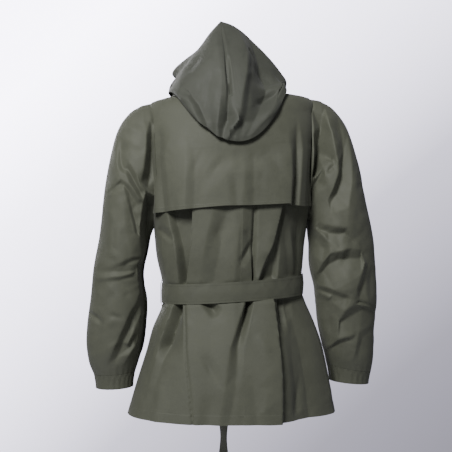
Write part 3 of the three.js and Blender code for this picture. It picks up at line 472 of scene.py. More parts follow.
SKIRT_FOLDS = (
    ((160, 177, 189, 206, 220), (0, 0, 0, 0, 0)),
    ((131, 164, 172, 190, 204), (6, 7, 3, 1, 0)),
    ((123, 154, 160, 176, 188), (-26, -20, -4, -3, -3)),
    ((112.5, 113.5, 112, 107, 102.5), (3, 4, 4, 4, 4)),
    ((110, 111, 109.5, 104.5, 100), (0, 1, 1, 1, 1)),
    ((105, 106, 104, 99, 94), (5, 6, 5, 5, 5)),
    ((60, 60, 64, 70, 76), (2, 4, 4, 4, 3)),
    ((-14, 20, 26, 34, 46), (6, 9, 9, 8, 7)),
    ((-26, 4, 6, 12, 24), (-26, -3, 1, 3, 4)),
    ((-33, -10, -8, 0, 6), (4, 4, 5, 5, 5)),
    ((-76, -83, -85, -86, -84), (11, 15, 16, 16, 16)),
    ((-81, -89, -92, -94, -92), (-5, 0, 1, 1, 0)),
    ((-115, -142, -150, -162, -168), (-8, -13, -15, -18, -19)),
    ((-160, -189, -200, -216, -226), (0, 0, 0, 0, 0)),
)
YOKE_LEVELS = (-40, -130, -190, -256)
YOKE_FOLDS = (
    ((186, 182, 178, 172), (0, 0, 0, 0)),
    ((176, 175, 171, 162), (0, 0, 1, 2)),
    ((166, 163, 158, 149), (0, -2, -5, -7)),
    ((150, 150, 144, 135), (0, 1, 2, 2)),
    ((110, 109, 109, 109), (0, 4, 6, 6)),
    ((92, 92, 92, 92), (0, 0, 0, 0)),
    ((-10, -10, -10, -2), (0, 2, 3, 3)),
    ((-30, -30, -30, -28), (0, 0, -1, -2)),
    ((-104, -110, -108, -103), (3, 8, 10, 11)),
    ((-128, -133, -127, -118), (-3, -8, -10, -11)),
    ((-135, -142, -134, -127), (2, 1, 2, 1)),
    ((-152, -154, -148, -142), (0, -1, -1, -2)),
    ((-172, -172, -168, -162), (-1, -6, -9, -10)),
    ((-184, -184, -180, -174), (0, -2, -4, -4)),
)
# The yoke's lower edge, from the wearer's right to left: distance from the middle, how far up
YOKE_EDGE = ((-165, -4), (-147, -4.5), (-130, -2.5), (-98, 3.5), (-77, 3),
             (-24, 3), (30, 4.5), (83, 2.5), (136, -1), (166, -4))
HOOD_LEVELS = (160, 90, 40, 0, -50, -100)
HOOD_FOLDS = (
    ((60, 90, 108, 116, 92, 60), (0, 0, 0, 0, 0, 0)),
    ((26, 27, 28, 27, 30, 40), (0, 2, 4, 4, 2, 0)),
    ((24, 24, 24, 22, 24, 30), (0, -2, -6, -6, -1, 0)),
    ((20, 20, 20, 17, 16, 20), (0, 1, 1, 1, 1, 0)),
    ((-12, -26, -19, -10, -1, 10), (1, 5, 8, 8, 5, 1)),
    ((-24, -42, -36, -27, -16, 0), (0, -5, -7, -7, -5, -2)),
    ((-34, -64, -74, -68, -42, -14), (0, -20, -32, -28, -12, -2)),
    ((-46, -88, -118, -112, -70, -24), (0, -13, -18, -9, 0, 0)),
)
PINCH_LEVELS = (-14, -40, -58, -70, -86, -108)
PINCH_FOLDS = (
    ((62, 64, 64, 62, 60, 54), (0, 0, 0, 0, 0, 0)),
    ((38, 44, 46, 48, 49, 46), (0, 2, 4, 4, 3, 2)),
    ((27, 27, 26, 28, 34, 38), (-2, -6, -11, -12, -8, -3)),
    ((21, 15, 6, 5, 17, 26), (0, 1, 4, 6, 5, 3)),
    ((12, 5, -2, -6, 6, 20), (0, 1, 0, -5, -6, -3)),
    ((-4, -22, -30, -32, -20, -4), (0, 0, 0, 0, 0, 0)),
)

# The tie: its place, width, depth and height, and how its cloth wraps, folds and gathers
KNOT_X = -2
KNOT_GAP = 0.5
KNOT_SIZE = (40, 20, 50)
KNOT_SQUARENESS = 0.7
KNOT_WRAP = 2.1
KNOT_FOLDS = 2.4
KNOT_FOLD_DEPTH = 1.5
KNOT_GATHERS = 11
KNOT_GATHER_DEPTH = 0.9
KNOT_GRID = (96, 61)

# The loops' width, height and thickness, and their twist
LOOP_SIZE = (7, 59, 1.2)
LOOP_TWIST = 150
LOOP_TWIST_DEPTH = 0.09
LOOP_GRID = (24, 90)

# The snap caps: their heights on the front, and their profile as reach and height
SNAP_LEVELS = (-92, -190, -290, -380, -520)
SNAP_PROFILE = ((7.5, 0.0), (7.5, 1.2), (7.3, 2.1), (6.8, 2.75), (6.1, 3.0),
                (5.5, 2.8), (5.1, 2.35), (4.4, 2.1), (2.2, 2.2), (0.4, 2.3))
SNAP_COLUMNS = 48

# Free ends of the belt: height, place across, distance before the front, turn in degrees, width
END_COLUMNS = ("z", "x", "out", "turn", "width")
LONG_END = (
    (-455.3, -10, 16, 10, 30),
    (-500, -14, 10, 6, 41),
    (-600, -16, 9, 10, 43),
    (-690, -12, 17, 30, 42),
    (-766, -8, 14, 66, 40),
    (-808, -8, 12, 76, 38),
    (-866, -8, 10, 58, 42),
)
SHORT_END = (
    (-455.3, 12, 20, -12, 28),
    (-500, 24, 15, -8, 40),
    (-570, 34, 15, -10, 43),
    (-632, 38, 16, -12, 43),
)

# Camera, from its distance and height at the photograph's angle
CAMERA_PLACE = (0.2909, 1.8776, -0.290)
CAMERA_LOOK = (-0.148, -0.989, 0.0)
CAMERA_LENS = 67.2
SENSOR_WIDTH = 36

# A folded crease is this much wider than a rolled one of the same spread. Folds are rounded by
# a share, and facets by the mean of some places round each point.
FOLD_WIDTH = 1.7
FOLD_ROUNDING = 0.35
FACET_ROUNDING = 1.3
FACET_TURNS = 6

# Small uneven creases: the most that they lean, in radians, and ranges of their length, spread
# and depth
WRINKLE_LEAN = 1.1
WRINKLE_LENGTH = (18, 70)
WRINKLE_SPREAD = (4, 9)
WRINKLE_DEPTH = (0.35, 1.1)

# Surroundings, in metres. The wall's glow is painted light: its brightness follows height and a share of
# the place across, between two values of their sum.
FLOOR_Z = -1.35
FLOOR_RADIUS = 1.2
BACKDROP_RADIUS = 8.0
ROOM_LIGHT = 0.17
WALL_TINT = (0.96, 0.93, 1.12)
WALL_STOPS = ((0.0, 0.05), (0.15, 0.07), (0.38, 0.16), (0.76, 0.62), (0.92, 1.0))
WALL_GLOW = 8.0
WALL_SLOPE = (0.9, -6.0, 3.0)
LIGHT_TARGET = (0, 0, -0.35)

SIDES = {1: "left", -1: "right"}
SLEEVES = {1: LEFT_SLEEVE, -1: RIGHT_SLEEVE}
SLEEVE_LINES = {1: LEFT_SLEEVE_LINES, -1: RIGHT_SLEEVE_LINES}
SLEEVE_CREASES = {1: LEFT_SLEEVE_CREASES, -1: RIGHT_SLEEVE_CREASES}


def mix(a, b, share):
    return a + (b - a) * share


def smooth(value, low, high):
    """A smooth step from 0 at one value to 1 at another."""
    share = np.clip((value - low) / (high - low), 0, 1)
    return share * share * (3 - 2 * share)


def unit(vectors, least=1e-9):
    """Vectors of length one in the same directions."""
    return vectors / np.maximum(np.linalg.norm(vectors, axis=-1, keepdims=True), least)


def full_turn(count):
    return np.linspace(0, 2 * math.pi, count, endpoint=False)


def curve(start, end, slope_in, slope_out, t):
    """A smooth curve from one value to another, with its slope at both."""
    return (start * (2 * t ** 3 - 3 * t ** 2 + 1) + slope_in * (t ** 3 - 2 * t ** 2 + t)
            + end * (3 * t ** 2 - 2 * t ** 3) + slope_out * (t ** 3 - t ** 2))


def oval(share, power):
    """The share of a section's depth that is left at a share of its width."""
    return (1 - share ** power) ** (1 / power)


def row_at(columns, table, value):
    """Each column of a table at places between its rows, as smooth curves through them."""
    rows = np.array(table, float)
    if rows[0, 0] > rows[-1, 0]:
        rows = rows[::-1]
    key = rows[:, 0]
    value = np.asarray(value, float)
    i = np.clip(np.searchsorted(key, value, side="right") - 1, 0, len(key) - 2)
    step = key[i + 1] - key[i]
    t = np.clip((value - key[i]) / step, 0, 1)
    before, after = np.maximum(i - 1, 0), np.minimum(i + 2, len(key) - 1)
    found = {}
    for name, column in zip(columns, rows.T):
        plain = column[i + 1] - column[i]
        slope_in = np.where(
            before == i, plain, (column[i + 1] - column[before]) * step / (key[i + 1] - key[before]))
        slope_out = np.where(
            after == i + 1, plain, (column[after] - column[i]) * step / (key[after] - key[i]))
        found[name] = curve(column[i], column[i + 1], slope_in, slope_out, t)
    return found


def body_section(z):
    return row_at(BODY_COLUMNS, BODY_SECTIONS, z)


def sunk(creases, x, z):
    """How far the creases of a table sink the cloth at places of it."""
    total = np.zeros(np.broadcast(x, z).shape)
    line, end = total, None
    for row in creases:
        c = dict(zip(CREASE_COLUMNS, row))
        dx, dz = c["x2"] - c["x1"], c["z2"] - c["z1"]
        length = math.hypot(dx, dz)
        t = np.clip(((x - c["x1"]) * dx + (z - c["z1"]) * dz) / length ** 2, 0, 1)
        across = (-(x - c["x1"]) * dz + (z - c["z1"]) * dx) / length
        away = np.hypot(x - c["x1"] - t * dx, z - c["z1"] - t * dz)
        spread = np.where(across > 0, c["to_left"], c["to_right"]) * mix(1, c["widen"], t)
        ends = 1 - (1 - np.where(t < 0.5, c["top"], c["foot"])) * (2 * t - 1) ** 2
        rolled = np.exp(-(away / spread) ** 2)
        folded = np.maximum(1 - away / (FOLD_WIDTH * spread), 0)
        crisp = np.clip((ROLLED - c["soft"]) / (ROLLED - FOLDED), 0, 1)
        depth = c["depth"] * ends * mix(rolled, folded, crisp)
        if (c["x1"], c["z1"]) == end:
            line = np.where(np.abs(depth) > np.abs(line), depth, line)
        else:
            total = total + line
            line = depth
        end = (c["x2"], c["z2"])
    return total + line


def folded_out(levels, lines, x, z):
    """How far cloth that is folded along lines stands out. The folds are a little rounded."""
    rising = levels[::-1]
    places = [np.interp(z, rising, at[::-1]) for at, _ in lines]
    outs = [np.interp(z, rising, out[::-1]) for _, out in lines]
    total = outs[0]
    for i in range(len(lines) - 1):
        share = np.clip((places[i] - x) / (places[i] - places[i + 1]), 0, 1)
        rounded = mix(share, smooth(share, 0, 1), FOLD_ROUNDING)
        total = total + (outs[i + 1] - outs[i]) * rounded
    return total


def facet_corners(side):
    """Corners of a sleeve's flat facets between fold lines: distance, height and how far out."""
    frame_heights = np.linspace(*SLEEVE_FRAME_HEIGHTS, SLEEVE_FRAME_STEPS)
    points = [(x, z, 0) for z in frame_heights for x in SLEEVE_FRAME[side]]
    edges = []
    for line in SLEEVE_LINES[side]:
        first = len(points)
        points += line
        edges += [(first + i, first + i + 1) for i in range(len(line) - 1)]
    places = [Vector(point[:2]) for point in points]
    found, _, triangles, origins, _, _ = delaunay_2d_cdt(places, edges, [], 0, 0.01)
    outs = [points[origin[0]][2] if origin else 0 for origin in origins]
    corners = [(*place, out) for place, out in zip(found, outs)]
    return np.array([[corners[i] for i in triangle] for triangle in triangles])


def facets_out(corners, x, z):
    """How far the facets stand out at places, a little rounded at their edges."""
    total = np.zeros(np.shape(x))
    for angle in full_turn(FACET_TURNS):
        px = x + FACET_ROUNDING * math.cos(angle)
        pz = z + FACET_ROUNDING * math.sin(angle)
        for (ax, az, a_out), (bx, bz, b_out), (cx, cz, c_out) in corners:
            area = (bx - ax) * (cz - az) - (cx - ax) * (bz - az)
            b = ((px - ax) * (cz - az) - (cx - ax) * (pz - az)) / area
            c = ((bx - ax) * (pz - az) - (px - ax) * (bz - az)) / area
            inside = (b >= 0) & (c > 0) & (b + c <= 1)
            total = total + np.where(inside, a_out + b * (b_out - a_out) + c * (c_out - a_out), 0)
    return total / FACET_TURNS


def wrinkles(seed, count, x_range, z_range):
    """A table of small uneven creases, spread over a part of the cloth."""
    rng = np.random.default_rng(seed)
    rows = []
    for _ in range(count):
        x, z = rng.uniform(*x_range), rng.uniform(*z_range)
        lean = rng.uniform(-WRINKLE_LEAN, WRINKLE_LEAN)
        length = rng.uniform(*WRINKLE_LENGTH)
        half_x, half_z = math.sin(lean) * length / 2, math.cos(lean) * length / 2
        spread = rng.uniform(*WRINKLE_SPREAD)
        depth = rng.uniform(*WRINKLE_DEPTH) * rng.choice((-1, 1))
        rows.append((x - half_x, z + half_z, x + half_x, z - half_z, spread, spread * 1.3, depth,
                     0.1, 0.1, 1.0, 1.5))
    return tuple(rows)


def uneven(seed, a, b, c, depth_and_size):
    """Slow, soft unevenness of cloth, in waves of about that depth and size."""
    depth, size = depth_and_size
    rng = np.random.default_rng(seed)
    total = 0
    for _ in range(9):
        way = rng.normal(size=3)
        way = way / np.linalg.norm(way) * rng.uniform(0.6, 1.6) * 2 * math.pi / size
        total = total + np.sin(a * way[0] + b * way[1] + c * way[2] + rng.uniform(0, 6.28))
    return depth * total / 4


BACK_WRINKLES = wrinkles(11, 90, (-220, 220), (-700, -120))
FRONT_WRINKLES = wrinkles(12, 70, (-210, 210), (-700, -120))
YOKE_WRINKLES = wrinkles(13, 40, (-180, 180), (-255, -20))
SLEEVE_WRINKLES = {1: wrinkles(14, 120, (190, 320), (-600, -60)),
                   -1: wrinkles(15, 120, (-335, -190), (-600, -60))}
HOOD_WRINKLES = wrinkles(16, 45, (-110, 140), (-100, 160))
BELT_WRINKLES = wrinkles(17, 80, (-480, 480), (-26, 26))
SLEEVE_FACETS = {side: facet_corners(side) for side in SIDES}


def half_width(section, x):
    return np.where(x >= 0, section["left"], section["right"])


def body_point(x, z, face, sink=0.0, out=0.0):
    """The cloth of the body at a distance from the centre and a height, sunk in and moved out
    along its own outward direction. It isn't sunk at the side seams."""
    section = body_section(z)
    width, square = half_width(section, x), section["square"]
    depth = section["back"] if face > 0 else section["front"]
    share = np.clip(np.abs(x) / width, 0, 1)
    y = face * depth * oval(share, square)
    nx, ny = x / width ** 2, y / depth ** 2
    length = np.maximum(np.hypot(nx, ny), 1e-9)
    move = out - sink * smooth(np.abs(y), *SIDE_FADE)
    return np.stack([x + move * nx / length, y + move * ny / length,
                     z + section["tilt"] * x], axis=-1)


def waist_fade(z):
    """Creases die out under the belt, and start again right at its edges."""
    return smooth(np.abs(z - BELT_Z), BELT_HEIGHT / 2 - 10, BELT_HEIGHT / 2 + 7)


def armhole_point(side, angle):
    """Distance and height of a place of an armhole, at an angle from its top to the back."""
    z = mix(ARMPIT_Z, SHOULDER_TIP_Z, (1 + np.cos(angle)) / 2)
    section = body_section(z)
    depth = np.where(np.sin(angle) >= 0, section["back"], section["front"])
    share = np.clip(np.abs(ARMHOLE_HALF_DEPTH * np.sin(angle)) / depth, 0, 1)
    return side * section[SIDES[side]] * oval(share, section["square"]), z


def panel_edge(x, level, face):
    """How far from the centre a panel's outer edge is on the side of x: the side seam, the
    armhole or the shoulder seam."""
    width = half_width(body_section(level), x)
    turn = np.arccos(np.clip(2 * (level - ARMPIT_Z) / (SHOULDER_TIP_Z - ARMPIT_Z) - 1, -1, 1))
    left, right = (np.abs(armhole_point(side, face * turn)[0]) for side in (1, -1))
    armhole = np.where(x > 0, left, right)
    return np.where((level <= ARMPIT_Z) | (level >= SHOULDER_TIP_Z), width, armhole)


def across_of(x, edge):
    """The share of the way to a panel's edge of a place at a distance from the centre."""
    return np.degrees(np.arcsin(np.clip(x / edge, -1, 1))) / 90


def panel_place(across, level, face):
    """Distance from the centre and height of a place of a panel, and how far up it is between
    the armpits and the neck."""
    side = np.where(across < 0, -1, 1)
    drop = BACK_NECK_DROP if face > 0 else FRONT_NECK_DROP
    share = np.clip((level - ARMPIT_Z) / (NECK_SIDE_Z - ARMPIT_Z), 0, 1)
    z = level - share * drop * np.cos(np.radians(90 * across)) ** NECK_DROP_POWER
    x = panel_edge(side, level, face) * np.sin(np.radians(90 * across))
    return x, z, share


def hem_rise(level):
    """The folded hem is thicker, up to its stitch line."""
    return HEM_RISE * smooth(HEM_Z + HEM_FOLD - level, -1.5, 0.5)


def back_point(across, level):
    """The back: across from -1 at the wearer's right edge to 1, at a level of the panel."""
    x, z, share = panel_place(across, level, 1)
    fade = waist_fade(z) * (1 - share * smooth(np.abs(across), 0.6, 1))
    below_yoke = smooth(-z, *BARE_BACK)
    folds = np.where(z > BELT_Z, folded_out(BACK_LEVELS, BACK_FOLDS, x, z),
                     folded_out(SKIRT_LEVELS, SKIRT_FOLDS, x, z))
    sink = (sunk(BACK_CREASES, x, z) + sunk(BACK_WRINKLES, x, z) - folds) * fade * below_yoke
    under_yoke = np.minimum(folded_out(YOKE_LEVELS, YOKE_FOLDS, x, z), 0) * (1 - share * 0.5)
    sink = sink - under_yoke * smooth(z, *PRESSED_BACK)
    sink = sink + uneven(1, x, z, 0 * x, BODY_UNEVEN) * fade
    strip = smooth(-x, -CENTRE_SEAM_X - 1, -CENTRE_SEAM_X + 1) * smooth(x, STRIP_EDGE_X - 3, STRIP_EDGE_X)
    strip = STRIP_RISE * strip * smooth(z, STRIP_FOOT_Z, STRIP_FOOT_Z + 20)
    lap_edge = panel_edge(x, level, 1) - SIDE_LAP_WIDTH
    side_lap = SIDE_LAP_RISE * smooth(np.abs(x), lap_edge, lap_edge + 2)
    side_lap = side_lap * (1 - smooth(level, SIDE_LAP_TOP_Z, SIDE_LAP_TOP_Z + 10))
    return body_point(x, z, 1, sink, hem_rise(level) + strip + side_lap)


def front_point(across, level):
    """The fronts, without their overlap, placed as the back is."""
    x, z, share = panel_place(across, level, -1)
    fade = waist_fade(z) * (1 - share * smooth(np.abs(across), 0.6, 1)) * smooth(np.abs(x), *OVERLAP_FLAT)
    sink = (sunk(FRONT_CREASES, x, z) + sunk(FRONT_WRINKLES, x, z)) * fade
    sink = sink + uneven(2, x, z, 0 * x, BODY_UNEVEN) * fade
    return body_point(x, z, -1, sink, hem_rise(level))


def yoke_point(across, height):
    """The loose flap: height runs from 0 at its free lower edge to 1 at the neck."""
    drop = BACK_NECK_DROP * np.cos(np.radians(90 * across)) ** NECK_DROP_POWER
    low = (YOKE_Z - ARMPIT_Z) / (NECK_SIDE_Z - drop - ARMPIT_Z)
    level = mix(ARMPIT_Z, NECK_SIDE_Z, mix(low, 1, height))
    x, z, _ = panel_place(across, level, 1)
    still = 1 - smooth(height, *YOKE_STILL)
    folds = folded_out(YOKE_LEVELS, YOKE_FOLDS, x, z)
    sink = (sunk(YOKE_CREASES, x, z) + sunk(YOKE_WRINKLES, x, z) - folds) * still
    sink = sink + uneven(3, x, z, 0 * x, YOKE_UNEVEN) * still
    lift = YOKE_LIFT + YOKE_EDGE_LIFT * (1 - height) ** 2
    hem = HEM_RISE * (1 - smooth(height * YOKE_HEIGHT, YOKE_HEM_FOLD - 0.5, YOKE_HEM_FOLD + 1.5))
    room = YOKE_ROOM * (1 - np.abs(across) ** 6) * (1 - height)
    p = body_point(x, z, 1, sink, lift + hem + room)
    edge_x, edge_up = np.array(YOKE_EDGE, float).T
    p[..., 2] += np.interp(x, edge_x, edge_up) * np.maximum(1 - 1.5 * height, 0) ** 2
    return p


def neck_edge(across, face, raise_by):
    """A place of the neck edge, raised along the neckband."""
    level = NECK_SIDE_Z + 0 * across
    back, front = (body_point(*panel_place(across, level, way)[:2], way) for way in (1, -1))
    p = np.where(face[..., None] > 0, back, front)
    lean = -p[..., :2] / np.hypot(p[..., 0], p[..., 1])[..., None] * BAND_LEAN
    up = np.concatenate([lean, 1 + 0 * lean[..., :1]], axis=-1)
    return p + unit(up) * raise_by[..., None]


def underlap(x):
    """How far back the left front, its band and its hood lie, under the right ones."""
    return UNDERLAP_DEPTH * (1 - smooth(x, OVERLAP_X + 4, OVERLAP_X + 50))


def band_point(round_share, height):
    """The neckband: round_share from -1 at the left front's end over 0 at the back to 1."""
    past = math.asin(OVERLAP_X / NECK_HALF_WIDTH) / math.radians(90)
    side = np.where(round_share < 0, 1, -1)
    turn = np.abs(round_share) * (2 + past)
    face = np.where(turn <= 1, 1, -1)
    across = side * np.where(turn <= 1, turn, 2 - turn)
    p = neck_edge(across, face, mix(3 * SEAM, BAND_HEIGHT, height))
    p[..., 1] += np.where((round_share < 0) & (face < 0), underlap(p[..., 0]), 0)
    return p


def sleeve_ring(side, along, angle):
    """The middle of a sleeve's section, and the way from there to its cloth."""
    s = row_at(SLEEVE_COLUMNS, SLEEVES[side], along)
    half_x, half_z = (s["outer_x"] - s["inner_x"]) / 2, (s["outer_z"] - s["inner_z"]) / 2
    cos, sin = np.cos(angle), np.sin(angle)
    middle = np.stack([side * (s["inner_x"] + half_x), s["y"], s["inner_z"] + half_z], axis=-1)
    reach = np.stack([side * half_x * cos, s["depth"] * sin, half_z * cos], axis=-1)
    return middle, reach


def sleeve_point(side, angle, along):
    """The sleeve: along is 0 at the armhole, and then as in the table of its sections."""
    x, z = armhole_point(side, angle)
    hole = np.stack([x + side * 1.5 * SEAM, ARMHOLE_HALF_DEPTH * np.sin(angle),
                     z + body_section(z)["tilt"] * x], axis=-1)
    middle, reach = sleeve_ring(side, np.maximum(along, 1), angle)
    p = mix(hole, middle + reach, np.clip(along, 0, 1)[..., None])
    x, y, z = np.moveaxis(p, -1, 0)
    behind = smooth(reach[..., 1], *SLEEVE_BACK)
    before = smooth(-reach[..., 1], *SLEEVE_FRONT)
    fade = smooth(along, *SLEEVE_FOLDS_START) * (1 - smooth(along, *SLEEVE_FOLDS_END))
    facets = SLEEVE_FACETS[side]
    back_out = facets_out(facets, x, z) * behind
    front_out = FRONT_FOLD_SHARE * facets_out(facets, x, z + FRONT_FOLD_DROP) * before
    deep = sunk(SLEEVE_CREASES[side], x, z) * behind
    deep = deep + SLEEVE_WRINKLE_SHARE * sunk(SLEEVE_WRINKLES[side], x, z) * (behind + before)
    deep = deep + uneven(20 + side, x, y, z, SLEEVE_UNEVEN)
    gather = SLEEVE_GATHER_DEPTH * np.cos(gather_phase(angle)) * smooth(along, 12.9, 14)
    p = p - unit(reach) * (deep * fade + gather)[..., None]
    p[..., 1] += (back_out - front_out) * fade
    return p


def gather_phase(angle):
    """The gathers round a cuff, unevenly spaced."""
    return CUFF_GATHERS * angle + 0.6 * np.sin(3 * angle)


def cuff_point(side, angle, down):
    """The elastic end of a sleeve, drawn into small waves."""
    middle, reach = sleeve_ring(side, SLEEVES[side][-1][0] + 0 * angle, angle)
    shrink = mix(1, CUFF_NARROWING, np.sin(down * math.pi / 2))
    gathers = np.cos(gather_phase(angle))
    wave = CUFF_GATHER_DEPTH * np.sin(np.minimum(down, 0.75) * math.pi) * gathers
    wave = wave * (0.8 + 0.3 * np.sin(5 * angle + 1))
    wave = wave - SLEEVE_GATHER_DEPTH * gathers * (1 - smooth(down, 0, 0.3))
    flat = np.hypot(reach[..., 0], reach[..., 1])
    size = (flat * shrink + wave) / flat
    drop = 2 * SEAM + CUFF_HEIGHT * down
    return np.stack([middle[..., 0] + reach[..., 0] * size, middle[..., 1] + reach[..., 1] * size,
                     middle[..., 2] + reach[..., 2] * (1 - 0.5 * down) - drop], axis=-1)


def hood_fold_row(neck, fold, front, share):
    """A row of the hood where it folds over the neckband."""
    out = mix(fold["side_out"], np.where(front, fold["front_out"], fold["back_out"]), share)
    up = mix(fold["side_up"], np.where(front, fold["front_up"], fold["back_up"]), share)
    flat = neck[..., :2] + unit(neck[..., :2]) * out[..., None]
    return np.concatenate([flat, neck[..., 2:] + up[..., None]], axis=-1)


def hood_row(i, side, angle):
    """A row of the hood above that fold, at angles from the front edge to the centre seam."""
    row = dict(zip(HOOD_COLUMNS, HOOD_ROWS[i]))
    name = SIDES[side]
    front = angle < 0
    cos, sin = np.cos(np.radians(angle)), np.sin(np.radians(angle))
    forward = sin / math.sin(math.radians(HOOD_FRONT_ANGLE))
    grow = smooth(i / (len(HOOD_ROWS) - 1), 0.1, 0.5)
    square = mix(0.8, 1, grow)
    out = row["wide_" + name] * np.maximum(cos, 0) ** square + SEAM / 2
    out = out + row["turn_" + name] * smooth(-angle, 0, HOOD_FRONT_ANGLE)
    y = np.where(front, sin * row["fore"], row["deep"] * np.abs(sin) ** square)
    z = np.where(front, mix(row[name], row["front"], forward ** 2),
                 mix(row[name], row["back"], np.abs(sin) ** mix(2.6, 2, grow)))
    return np.stack([HOOD_SEAM_X + side * out, y, z], axis=-1)


def hood_control_rows(side, angle):
    """The rows that the hood's cloth runs through, at angles from the front edge (below zero)
    round the side to the centre seam at 90."""
    seam_across = math.asin(HOOD_NECK_SEAM_X / HOOD_NECK_HALF_WIDTH) / math.radians(90)
    front = angle < 0
    across = np.where(front, side * mix(1, HOOD_NECK_START, -angle / HOOD_FRONT_ANGLE),
                      mix(side, seam_across, angle / 90))
    neck = neck_edge(across, np.where(front, -1, 1), BAND_HEIGHT + 2 * SEAM + 0 * angle)
    neck[..., 0] += side * SEAM / 2
    if side > 0:
        neck[..., 1] += np.where(front, underlap(neck[..., 0]), 0)
    sin = np.sin(np.radians(angle))
    share = np.where(front, sin / math.sin(math.radians(HOOD_FRONT_ANGLE)), sin) ** 2
    rows = [neck] + [hood_fold_row(neck, fold, front, share) for fold in HOOD_FOLD]
    for i in range(len(HOOD_ROWS)):
        p = hood_row(i, side, angle)
        if i < len(HOOD_STAND_OFF):
            least = np.linalg.norm(neck[..., :2], axis=-1) + HOOD_STAND_OFF[i]
            outward = np.maximum(least / np.linalg.norm(p[..., :2], axis=-1), 1)
            p[..., :2] *= np.where(front, outward, 1)[..., None]
        rows.append(p)
    return np.stack(rows)


def smooth_rows(rows, at):
    """Points between control rows, as smooth curves through them."""
    last = len(rows) - 1
    i = np.clip(np.floor(at).astype(int), 0, last - 1)
    before, after = rows[np.maximum(i - 1, 0)], rows[np.minimum(i + 2, last)]
    start, end = rows[i], rows[i + 1]
    slope_in = np.where((i == 0)[:, None, None], end - start, (end - before) / 2)
    slope_out = np.where((i + 1 == last)[:, None, None], end - start, (after - start) / 2)
    return curve(start, end, slope_in, slope_out, (at - i)[:, None, None])


def grid_normals(grid, closed=False):
    """Directions across the cloth at each point of a grid."""
    if closed:
        across = np.roll(grid, -1, axis=1) - np.roll(grid, 1, axis=1)
    else:
        across = np.gradient(grid, axis=1)
    return unit(np.cross(across, np.gradient(grid, axis=0)))


def hood_grid(side):
    """Points of one half of the hood, from the neckband up and from its front edge back."""
    columns, rows = HOOD_GRID
    angles = np.concatenate([np.linspace(-HOOD_FRONT_ANGLE, 0, columns // 3, endpoint=False),
                             np.linspace(0, 90, columns - columns // 3)])
    at = np.concatenate([np.linspace(0, 4, rows // 4, endpoint=False),
                         np.linspace(4, len(HOOD_FOLD) + len(HOOD_ROWS), rows - rows // 4)])
    grid = smooth_rows(hood_control_rows(side, angles), at)
    if side < 0:
        grid[:, -1, 0] += HOOD_SEAM_LAP
    normal = grid_normals(grid) * side
    normal[..., 0] *= smooth(90 - angles, 0, 8)[None, :]
    normal = unit(normal)
    x, y, z = np.moveaxis(grid, -1, 0)
    shape = smooth(at, *HOOD_FOLDS_START)[:, None]
    folds = folded_out(HOOD_LEVELS, HOOD_FOLDS, x, z) + folded_out(PINCH_LEVELS, PINCH_FOLDS, x, z)
    deep = (sunk(HOOD_CREASES, x, z) + sunk(HOOD_WRINKLES, x, z) - folds) * smooth(y, *HOOD_BACK)
    deep = (deep + uneven(31, x, y, z, HOOD_UNEVEN)) * shape
    brim = HOOD_BRIM * smooth(-angles, HOOD_FRONT_ANGLE - 9, HOOD_FRONT_ANGLE - 8)[None, :]
    welt = HOOD_WELT * (1 - smooth(90 - angles, 4.5, 7)) * shape if side < 0 else 0
    return grid + normal * (brim - deep + welt)[..., None]


def belt_point(angle, height):
    """The belt's outer face: an angle round the waist from the back, and a share of its height."""
    section = body_section(BELT_Z + 0 * angle)
    cos, sin = np.cos(angle), np.sin(angle)
    power = 2 / section["square"]
    slack = 0.5 * np.sin(7 * angle + 0.6) + 0.35 * np.sin(13 * angle + 2)
    round_waist = (np.mod(angle + math.pi, 2 * math.pi) - math.pi) * BELT_RADIUS
    creased = BELT_WRINKLE_SHARE * sunk(BELT_WRINKLES, round_waist, height * BELT_HEIGHT)
    lift = BELT_LIFT + slack * (0.5 + height) + 0.4 * np.cos(height * 2 * math.pi) - creased
    depth = np.where(cos >= 0, section["back"], section["front"])
    x = (half_width(section, sin) + lift) * np.sign(sin) * np.abs(sin) ** power
    y = (depth + lift) * np.sign(cos) * np.abs(cos) ** power
    return np.stack([x, y, BELT_Z + height * BELT_HEIGHT + section["tilt"] * x], axis=-1)


def end_point(sections, across, z):
    """A free end of the belt: across its width from -0.5 to 0.5, at a height."""
    s = row_at(END_COLUMNS, sections, z)
    section = body_section(np.maximum(z, HEM_Z))
    share = np.clip(np.abs(s["x"]) / half_width(section, s["x"]), 0, 1)
    front = -section["front"] * oval(share, section["square"])
    turn = np.radians(s["turn"])
    x = s["x"] + across * s["width"] * np.cos(turn)
    y = front - s["out"] - across * s["width"] * np.sin(turn) + 0.5 * np.cos(2 * math.pi * across)
    return np.stack([x, y, z + 0 * x], axis=-1)


def knot_rings():
    """The tie: cloth wrapped round the crossing ends, gathered at its top and foot."""
    width, depth, height = KNOT_SIZE
    columns, rows = KNOT_GRID
    back = -belt_point(np.array(math.pi), np.array(0.0))[1] + KNOT_GAP
    angle = full_turn(columns)
    cos, sin = np.cos(angle), np.sin(angle)
    rings = []
    for share in np.linspace(-1, 1, rows):
        swell = math.sqrt(1 - 0.55 * share ** 2) * (1 - abs(share) ** 14) ** 0.4
        wrap = share * KNOT_WRAP + 0.55 * cos + 0.2 * sin
        fold = KNOT_FOLD_DEPTH * np.abs(np.sin(KNOT_FOLDS * wrap)) ** 0.55 - 1.3
        gathers = KNOT_GATHER_DEPTH * abs(share) ** 3 * np.cos(KNOT_GATHERS * angle + 3 * share)
        wide = width / 2 * swell + fold + gathers
        deep = depth / 2 * swell + np.where(sin > 0, fold + gathers, 0)
        x = KNOT_X + wide * np.sign(cos) * np.abs(cos) ** KNOT_SQUARENESS
        y = -(back + depth / 2) - deep * np.sign(sin) * np.abs(sin) ** KNOT_SQUARENESS
        pull = 2.5 * (1 - swell) * abs(share) ** 8
        z = BELT_Z + share * (height / 2 - pull)
        rings.append(np.stack([x, y, z + 0 * x], axis=-1))
    return np.stack(rings)


